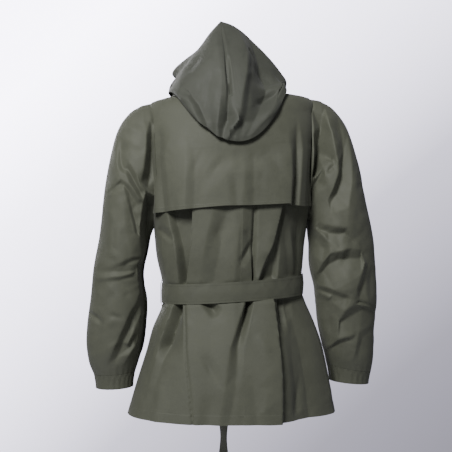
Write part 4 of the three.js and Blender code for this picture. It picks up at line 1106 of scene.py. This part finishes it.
def loop_rings(side):
    """A thin loop at the side seam: a flat cord of twisted thread, sewn down above and below."""
    width, height, thick = LOOP_SIZE
    columns, rows = LOOP_GRID
    angle = full_turn(columns)
    cleared = 3 * SEAM + thick
    outer = half_width(body_section(BELT_Z), side) + BELT_LIFT + cleared
    rings = []
    for share in np.linspace(-0.5, 0.5, rows):
        z = BELT_Z + share * height
        section = body_section(z)
        over = 1 - smooth(abs(z - BELT_Z), BELT_HEIGHT / 2 - 1, BELT_HEIGHT / 2 + 6)
        sewn = half_width(section, side) + cleared
        twist = 1 + LOOP_TWIST_DEPTH * np.cos(share * LOOP_TWIST + 2 * angle)
        out = mix(sewn, np.maximum(outer, sewn), over) - thick / 2 + thick / 2 * np.cos(angle) * twist
        x = side * out
        rings.append(np.stack([x, width / 2 * np.sin(angle) * twist, z + section["tilt"] * x], axis=-1))
    return np.stack(rings)


def snap_rings(level):
    """A round snap cap on the front: a rolled rim round a shallow dish."""
    radius = SNAP_PROFILE[0][0]
    above, below = (body_point(np.array(0.0), np.array(z), -1)[1] for z in (level + radius, level - radius))
    lean = math.atan2(above - below, 2 * radius)
    outward = np.array([0, -math.cos(lean), math.sin(lean)])
    upward = np.array([0, math.sin(lean), math.cos(lean)])
    middle = np.array([0, (above + below) / 2 - 2 * SEAM, level])
    angle = full_turn(SNAP_COLUMNS)[:, None]
    ring = np.cos(angle) * np.array([1, 0, 0]) + np.sin(angle) * upward
    return np.stack([middle + outward * high + reach * ring for reach, high in SNAP_PROFILE])


def linked(name, data):
    """An object of the scene from its data."""
    made = bpy.data.objects.new(name, data)
    bpy.context.scene.collection.objects.link(made)
    return made


def mesh_of(name, points, faces):
    """A mesh in metres from points in millimetres."""
    mesh = bpy.data.meshes.new(name)
    mesh.from_pydata((points * MM).tolist(), [], faces)
    return mesh


def smooth_shaded(mesh):
    """Soft shading over a mesh, with its sharp edges kept."""
    mesh.polygons.foreach_set("use_smooth", np.ones(len(mesh.polygons), bool))
    mesh.set_sharp_from_angle(angle=math.radians(60))


def solid_piece(solid, ending, rings, look):
    """A closed piece from rings of points, with a flat fan at each end, in place of a solid."""
    rows, columns = rings.shape[:2]
    here = np.arange(rows * columns).reshape(rows, columns)
    step = np.roll(here, -1, axis=1)
    points = np.concatenate([rings.reshape(-1, 3), rings[:1].mean(axis=1), rings[-1:].mean(axis=1)])
    faces = np.stack([here[:-1], step[:-1], step[1:], here[1:]], axis=-1).reshape(-1, 4).tolist()
    foot, top = rows * columns, rows * columns + 1
    for i in range(columns):
        faces += [(foot, int(step[0, i]), int(here[0, i])), (top, int(here[-1, i]), int(step[-1, i]))]
    mesh = mesh_of(solid + ending, points, faces)
    form = bmesh.new()
    form.from_mesh(mesh)
    bmesh.ops.recalc_face_normals(form, faces=form.faces)
    form.to_mesh(mesh)
    form.free()
    smooth_shaded(mesh)
    return finished(linked(solid + ending, mesh), look, solid)


def cloth_piece(solid, grid, outward=1, closed=False, thickness=CLOTH, look="cloth"):
    """A closed thin wall of cloth from a grid of its outer points, in place of a solid."""
    inner = grid - grid_normals(grid, closed) * outward * thickness
    rows, columns = grid.shape[:2]
    number = np.arange(rows * columns).reshape(rows, columns)
    step = np.roll(number, -1, axis=1) if closed else number[:, 1:]
    here = number if closed else number[:, :-1]
    outer = np.stack([here[:-1], step[:-1], step[1:], here[1:]], axis=-1).reshape(-1, 4)
    shift = rows * columns
    rims = [np.stack([here[0], here[0] + shift, step[0] + shift, step[0]], axis=-1),
            np.stack([here[-1], step[-1], step[-1] + shift, here[-1] + shift], axis=-1)]
    if not closed:
        first, last = number[:, 0], number[:, -1]
        rims.append(np.stack([first[:-1], first[1:], first[1:] + shift, first[:-1] + shift], axis=-1))
        rims.append(np.stack([last[:-1], last[:-1] + shift, last[1:] + shift, last[1:]], axis=-1))
    faces = np.concatenate([outer, outer[:, ::-1] + shift, *rims])
    if outward < 0:
        faces = faces[:, ::-1]
    points = np.concatenate([grid.reshape(-1, 3), inner.reshape(-1, 3)])
    mesh = mesh_of(solid + "_cloth", points, faces.tolist())
    smooth_shaded(mesh)
    return finished(linked(solid + "_cloth", mesh), look, solid)


def finished(made, look, solid=None):
    """Gives a piece its material and its body, and hides the solid that it stands for."""
    material, finish = LOOKS[look]
    made.data.materials.append(material)
    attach(made, "root")
    if solid:
        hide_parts(solid)
    return made


def spread_even(points, step):
    """Places along a line at even distances."""
    lengths = np.linalg.norm(np.diff(points, axis=0), axis=-1)
    total = np.concatenate([[0], np.cumsum(lengths)])
    at = np.arange(step / 2, total[-1], step)
    return np.stack([np.interp(at, total, column) for column in points.T], axis=-1)


def stitches(name, lines):
    """Rows of short threads. Each line is points on the cloth with the outward directions."""
    points, faces = [], []
    for line, outward in lines:
        spaced = spread_even(np.concatenate([line, outward], axis=-1), STITCH_STEP)
        place, up = spaced[:, :3], unit(spaced[:, 3:])
        ahead = unit(np.gradient(place, axis=0))
        half, aside = ahead * STITCH_LENGTH / 2, np.cross(ahead, up) * STITCH_WIDTH / 2
        for p, a, b, c in zip(place, half, aside, up):
            base = len(points)
            points += [p - a - c * STITCH_DIP, p + a - c * STITCH_DIP, p - b, p + b,
                       p + c * STITCH_RISE, p - c * STITCH_ROOT]
            faces += [(base + i, base + j, base + k) for i, j, k in STITCH_FACES]
    finished(linked(name, mesh_of(name, np.array(points), faces)), "thread")


def on_surface(surface, u, v, outward):
    """Points and outward directions of a surface at places of it."""
    e = 1e-3
    p = surface(u, v)
    normal = unit(np.cross(surface(u + e, v) - p, surface(u, v + e * 50) - p), 1e-12)
    return p, normal * outward


def set_inputs(tree, made, inputs):
    """Sets inputs of a node to values, or joins them to outputs of other nodes."""
    for name, value in inputs.items():
        if isinstance(value, bpy.types.NodeSocket):
            tree.links.new(value, made.inputs[name])
        else:
            made.inputs[name].default_value = value


def node(tree, kind, inputs, output=0, **settings):
    """A new node's output."""
    made = tree.nodes.new("ShaderNode" + kind)
    for name, value in settings.items():
        setattr(made, name, value)
    set_inputs(tree, made, inputs)
    return made.outputs[output]


def ramp(tree, fac, stops):
    made = tree.nodes.new("ShaderNodeValToRGB")
    tree.links.new(fac, made.inputs["Fac"])
    elements = made.color_ramp.elements
    while len(elements) < len(stops):
        elements.new(0.5)
    for element, (place, colour) in zip(elements, stops):
        element.position = place
        element.color = (*colour, 1)
    return made.outputs["Color"]


def multiplied(tree, first, second, factor):
    """A colour multiplied by another one in part."""
    return node(tree, "Mix", {"Factor": factor, "A": first, "B": second}, "Result",
                data_type="RGBA", blend_type="MULTIPLY")


def new_material(name):
    """A new material, its node tree, its shader and places on the object."""
    material = bpy.data.materials.new(name)
    material.use_nodes = True
    tree = material.node_tree
    return material, tree, tree.nodes["Principled BSDF"], node(tree, "TexCoord", {}, "Object")


def coated_cotton(name, light, dark, roughness, weave_depth):
    """Tightly woven cotton with a thin matt coating: slow colour drift, small marks where it has
    been folded, and a fine weave."""
    material, tree, shader, place = new_material(name)
    drift = node(tree, "TexNoise", {"Vector": place, "Scale": 7.0, "Detail": 3.0, "Roughness": 0.5}, "Fac")
    marks = node(tree, "TexNoise", {"Vector": place, "Scale": 55.0, "Detail": 5.0, "Roughness": 0.65,
                                    "Distortion": 0.6}, "Fac")
    threads = [node(tree, "TexWave", {"Vector": place, "Scale": 360.0, "Distortion": 1.2, "Detail": 1.0,
                                      "Detail Scale": 2.0}, "Fac", bands_direction=way) for way in "XZ"]
    woven = node(tree, "Math", dict(enumerate(threads)), operation="MULTIPLY")
    colour = ramp(tree, drift, ((0.32, dark), (0.68, light)))
    mark_shade = ramp(tree, marks, ((0.3, (0.8, 0.8, 0.8)), (0.7, (1.1, 1.1, 1.08))))
    weave_shade = ramp(tree, woven, ((0.0, (0.78, 0.78, 0.78)), (0.8, (1.1, 1.1, 1.1))))
    colour = multiplied(tree, multiplied(tree, colour, mark_shade, 0.35), weave_shade, 0.16)
    rough = node(tree, "MapRange", {"Value": marks, "From Min": 0.3, "From Max": 0.7,
                                    "To Min": roughness - 0.07, "To Max": roughness + 0.08}, "Result")
    crumple = node(tree, "Bump", {"Height": marks, "Strength": 0.35, "Distance": 0.0016}, "Normal")
    weave = node(tree, "Bump", {"Height": woven, "Strength": weave_depth, "Distance": 0.0004,
                                "Normal": crumple}, "Normal")
    set_inputs(tree, shader, {"Base Color": colour, "Roughness": rough, "Normal": weave,
                              "Sheen Weight": 0.12, "Sheen Roughness": 0.5, "Specular IOR Level": 0.42})
    return material


def sewing_thread(name, colour):
    """Twisted matt thread."""
    material, tree, shader, place = new_material(name)
    twist = node(tree, "TexWave", {"Vector": place, "Scale": 900.0, "Distortion": 2.0}, "Fac",
                 bands_direction="DIAGONAL")
    shade = tuple(c * 0.75 for c in colour)
    bump = node(tree, "Bump", {"Height": twist, "Strength": 0.4, "Distance": 0.0002}, "Normal")
    set_inputs(tree, shader, {"Base Color": ramp(tree, twist, ((0.2, shade), (0.8, colour))),
                              "Normal": bump, "Roughness": 0.7})
    return material


def painted_metal(name, colour):
    """Dark paint on metal, a little worn."""
    material, tree, shader, place = new_material(name)
    wear = node(tree, "TexNoise", {"Vector": place, "Scale": 240.0, "Detail": 4.0}, "Fac")
    worn = tuple(min(1, c * 1.8 + 0.05) for c in colour)
    rough = node(tree, "MapRange", {"Value": wear, "To Min": 0.28, "To Max": 0.5}, "Result")
    set_inputs(tree, shader, {"Base Color": ramp(tree, wear, ((0.55, colour), (0.75, worn))),
                              "Roughness": rough, "Metallic": 0.6})
    return material


# Each look is a material and the finish that it belongs to
LOOKS = {
    "cloth": (coated_cotton("coated_cotton", (0.128, 0.134, 0.099), (0.110, 0.116, 0.084),
                            # The hood: the body's coated cotton made darker, as painted shade for the hood
                            # that catches less light
                            0.58, 0.35), "cloth"),
    "hood": (coated_cotton("coated_cotton_hood_painted_shade", (0.094, 0.099, 0.079), (0.081, 0.086, 0.068),
                           0.58, 0.35), "cloth"),
    "trim": (coated_cotton("coated_cotton_trim", (0.124, 0.130, 0.096), (0.106, 0.112, 0.081),
                           0.6, 0.4), "trim"),
    "thread": (sewing_thread("sewing_thread", (0.050, 0.052, 0.039)), "trim"),
    "snap": (painted_metal("painted_snap", (0.045, 0.046, 0.038)), "snap"),
}


def levels_for(low, high, step, line):
    """Heights from low to high, with closer rows round a sewn line."""
    even = np.linspace(low, high, max(2, round((high - low) / step) + 1))
    values = np.sort([*even, line - 1.6, line - 0.6, line + 0.6, line + 1.6])
    keep = np.concatenate([[True], np.diff(values) > 0.25])
    return values[keep]


def panel_levels():
    """Levels of the panels' points: closer together at the armhole, and in even steps above."""
    lower = levels_for(HEM_Z, ARMPIT_Z, MESH_STEP, HEM_Z + HEM_FOLD)
    turns = np.linspace(math.pi, 0, ARMHOLE_LEVELS)[1:-1]
    middle = mix(ARMPIT_Z, SHOULDER_TIP_Z, (1 + np.cos(turns)) / 2)
    upper = np.linspace(SHOULDER_TIP_Z, NECK_SIDE_Z, SHOULDER_LEVELS)
    return np.concatenate([lower, middle, upper])[:, None]


def back_half(side):
    """One half of the back. The right one laps over the left one at the centre seam."""
    levels = panel_levels()
    start = CENTRE_SEAM_X - CENTRE_LAP if side > 0 else CENTRE_SEAM_X
    first = across_of(start, panel_edge(side, levels, 1))
    shares = np.sort([*np.linspace(0, 1, BACK_COLUMNS), *SIDE_LAP_SHARES, *CENTRE_LAP_SHARES])
    across = mix(first, side, shares[None, :])
    grid = back_point(across, levels + 0 * across)
    if side > 0:
        under = 1 - smooth(grid[..., 0], CENTRE_SEAM_X + 2, CENTRE_SEAM_X + 16)
        grid[..., 1] -= CENTRE_LAP_DROP * under
    return cloth_piece("back_" + SIDES[side], grid + np.array([0, SEAM / 2, 0]), outward=-side)


def front_half(side):
    """One front. The left one lies under the right one at the centre."""
    levels = panel_levels()
    first = -across_of(OVERLAP_X, panel_edge(side, levels, -1))
    across = side * mix(first, 1, np.linspace(0, 1, FRONT_COLUMNS)[None, :])
    grid = front_point(across, levels + 0 * across)
    if side > 0:
        grid[..., 1] += underlap(grid[..., 0])
    grid = grid + np.array([side * SEAM / 2, -SEAM / 2, 0])
    return cloth_piece("front_" + SIDES[side], grid, outward=side)


def back_yoke():
    columns, rows = YOKE_GRID
    heights = np.sort([*np.linspace(0, 1, rows), *YOKE_HEM_SHARES])
    grid = yoke_point(*np.meshgrid(np.linspace(-YOKE_END, YOKE_END, columns), heights))
    return cloth_piece("back_yoke", grid, outward=-1)


def neckband():
    columns, rows = BAND_GRID
    grid = band_point(*np.meshgrid(np.linspace(-1, 1, columns), np.linspace(0, 1, rows)))
    return cloth_piece("neckband", grid, look="trim")


def sleeve(side):
    columns, armhole_rows, rows = SLEEVE_GRID
    along = np.concatenate([np.linspace(0, 1, armhole_rows, endpoint=False),
                            np.linspace(1, SLEEVES[side][-1][0], rows)])
    grid = sleeve_point(side, *np.meshgrid(full_turn(columns), along))
    return cloth_piece("sleeve_" + SIDES[side], grid, outward=-side, closed=True)


def cuff(side):
    columns, rows = CUFF_GRID
    grid = cuff_point(side, *np.meshgrid(full_turn(columns), np.linspace(0, 1, rows)))
    return cloth_piece("cuff_" + SIDES[side], grid, outward=-side, closed=True, look="trim")


def hood_half(side):
    return cloth_piece("hood_" + SIDES[side], hood_grid(side), outward=side, look="hood")


def waist_belt():
    columns, rows = BELT_GRID
    grid = belt_point(*np.meshgrid(full_turn(columns), np.linspace(-0.5, 0.5, rows)))
    return cloth_piece("belt", grid, outward=-1, closed=True, thickness=BELT_CLOTH, look="trim")


def belt_end(name, sections):
    top, foot = sections[0][0], sections[-1][0]
    heights = np.linspace(top, foot, round((top - foot) / BELT_END_STEP))
    grid = end_point(sections, *np.meshgrid(np.linspace(-0.5, 0.5, BELT_END_COLUMNS), heights))
    return cloth_piece(name, grid, outward=-1, thickness=BELT_CLOTH, look="trim")


def both(make):
    """The left and the right piece of a kind."""
    return [make(side) for side in SIDES]


def line_up(surface, face, x, low, high, count):
    """A sewn line on a panel at one distance from the centre, from one level to another."""
    level = np.linspace(low, high, count)
    return on_surface(surface, across_of(x, panel_edge(x, level, face)), level, -face)


def hem_line(surface, face, first, last, count):
    """A sewn line along a panel's hem."""
    across = np.linspace(first, last, count)
    return on_surface(surface, across, HEM_Z + HEM_FOLD - 1 + 0 * across, -face)


def side_line(side):
    """The sewn line beside a side seam."""
    level = np.linspace(HEM_Z + 2, SIDE_LAP_TOP_Z, 130)
    edge = panel_edge(side, level, 1)
    return on_surface(back_point, side * across_of(edge - SIDE_STITCH, edge), level, -1)


def back_sewing():
    top = YOKE_Z - 40
    return [hem_line(back_point, 1, -HEM_STITCH_END, HEM_STITCH_END, 240),
            line_up(back_point, 1, CENTRE_SEAM_X - SEAM_STITCH, HEM_Z + 2, top, 200),
            line_up(back_point, 1, STRIP_EDGE_X, STRIP_FOOT_Z + 6, top, 60),
            side_line(-1), side_line(1)]


def front_sewing():
    return [hem_line(front_point, -1, -HEM_STITCH_END, -0.02, 120),
            hem_line(front_point, -1, 0.11, HEM_STITCH_END, 120),
            line_up(front_point, -1, 16, HEM_Z + 4, -20, 160),
            line_up(front_point, -1, -20, HEM_Z + 4, -20, 160)]


def yoke_sewing():
    across = np.linspace(-YOKE_END + 0.01, YOKE_END - 0.01, 160)
    return [on_surface(yoke_point, across, YOKE_HEM_SHARES[1] + 0 * across, -1)]


def belt_sewing():
    angle = np.linspace(0, 2 * math.pi, 300)
    line = 0.5 - TOP_STITCH / BELT_HEIGHT
    return [on_surface(belt_point, angle, share + 0 * angle, 1) for share in (-line, line)]


def hood_sewing():
    """Sewn lines beside the front edge and the centre seam of both halves."""
    lines = []
    for side in (-1, 1):
        grid = hood_grid(side)
        normals = grid_normals(grid) * side
        lines += [(grid[2:-2, column], normals[2:-2, column]) for column in (7, -9)]
    return lines


def band_sewing():
    across = np.linspace(-0.99, 0.99, 240)
    return [on_surface(band_point, across, share + 0 * across, 1) for share in (0.14, 0.86)]


def cuff_sewing():
    angle = np.linspace(0, 2 * math.pi, 160)
    return [on_surface(partial(cuff_point, side), angle, share + 0 * angle, -side)
            for side in (-1, 1) for share in (0.1, 0.9)]


def photo_camera():
    """The camera at the photograph's angle."""
    camera = linked("camera", bpy.data.cameras.new("camera"))
    camera.data.lens = CAMERA_LENS
    camera.data.sensor_width = SENSOR_WIDTH
    camera.location = CAMERA_PLACE
    camera.rotation_euler = Vector(CAMERA_LOOK).to_track_quat("-Z", "Y").to_euler()
    bpy.context.scene.camera = camera


def soft_light(name, place, size, power):
    """A round soft light that points at the middle of the coat."""
    lamp = linked(name, bpy.data.lights.new(name, "AREA"))
    lamp.data.shape = "DISK"
    lamp.data.size = size
    lamp.data.energy = power
    lamp.location = place
    lamp.rotation_euler = (Vector(LIGHT_TARGET) - Vector(place)).to_track_quat("-Z", "Y").to_euler()
    lamp.visible_camera = False


def stage_floor():
    """A plain pale round floor under the coat."""
    bpy.ops.mesh.primitive_circle_add(vertices=96, radius=FLOOR_RADIUS, fill_type="NGON",
                                      location=(0, 0, FLOOR_Z))
    floor = bpy.context.object
    floor.name = "stage_floor"
    material = bpy.data.materials.new("stage_floor")
    material.use_nodes = True
    set_inputs(material.node_tree, material.node_tree.nodes["Principled BSDF"],
               {"Base Color": (0.62, 0.62, 0.66, 1), "Roughness": 0.8})
    floor.data.materials.append(material)


def room_light():
    """Even weak light from all sides."""
    world = bpy.data.worlds.new("room")
    bpy.context.scene.world = world
    world.use_nodes = True
    set_inputs(world.node_tree, world.node_tree.nodes["Background"],
               {"Color": (0.78, 0.79, 0.84, 1), "Strength": ROOM_LIGHT})


def stage_wall():
    """A pale wall all round, which only the camera sees, glowing with painted light that is brighter
    upwards and to one side.
    """
    bpy.ops.mesh.primitive_uv_sphere_add(segments=64, ring_count=32, radius=BACKDROP_RADIUS)
    wall = bpy.context.object
    wall.name = "stage_wall"
    material, tree, shader, place = new_material("stage_wall")
    tree.nodes.remove(shader)
    parts = tree.nodes.new("ShaderNodeSeparateXYZ")
    tree.links.new(place, parts.inputs["Vector"])
    x_share, lowest, highest = WALL_SLOPE
    across = node(tree, "Math", {0: parts.outputs["X"], 1: x_share}, operation="MULTIPLY")
    slope = node(tree, "Math", {0: across, 1: parts.outputs["Z"]}, operation="ADD")
    share = node(tree, "MapRange", {"Value": slope, "From Min": lowest, "From Max": highest}, "Result")
    stops = tuple((at, tuple(level * tint for tint in WALL_TINT)) for at, level in WALL_STOPS)
    glow = node(tree, "Emission", {"Color": ramp(tree, share, stops), "Strength": WALL_GLOW}, "Emission")
    tree.links.new(glow, tree.nodes["Material Output"].inputs["Surface"])
    wall.data.materials.append(material)
    for kind in ("diffuse", "glossy", "transmission", "volume_scatter", "shadow"):
        setattr(wall, "visible_" + kind, False)


photo_camera()
room_light()
stage_wall()
stage_floor()
soft_light("key", (1.2, 2.05, 1.25), 0.9, 70)
soft_light("front_fill", (1.2, -2.4, 0.9), 2.2, 30)

sheets = [*both(back_half), *both(front_half), back_yoke(), neckband(), *both(sleeve), *both(cuff),
          *both(hood_half), waist_belt(), belt_end("belt_end_long", LONG_END),
          belt_end("belt_end_short", SHORT_END)]

for name, lines in (("back", back_sewing()), ("front", front_sewing()), ("yoke", yoke_sewing()),
                    ("belt", belt_sewing()), ("hood", hood_sewing()), ("neckband", band_sewing()),
                    ("cuffs", cuff_sewing())):
    stitches("sewing_" + name, lines)

solid_piece("belt_knot", "_tied", knot_rings(), "trim")
for side, name in SIDES.items():
    solid_piece("belt_loop_" + name, "_cord", loop_rings(side), "trim")
for i, level in enumerate(SNAP_LEVELS):
    solid_piece(f"snap_{i + 1}", "_cap", snap_rings(level), "snap")
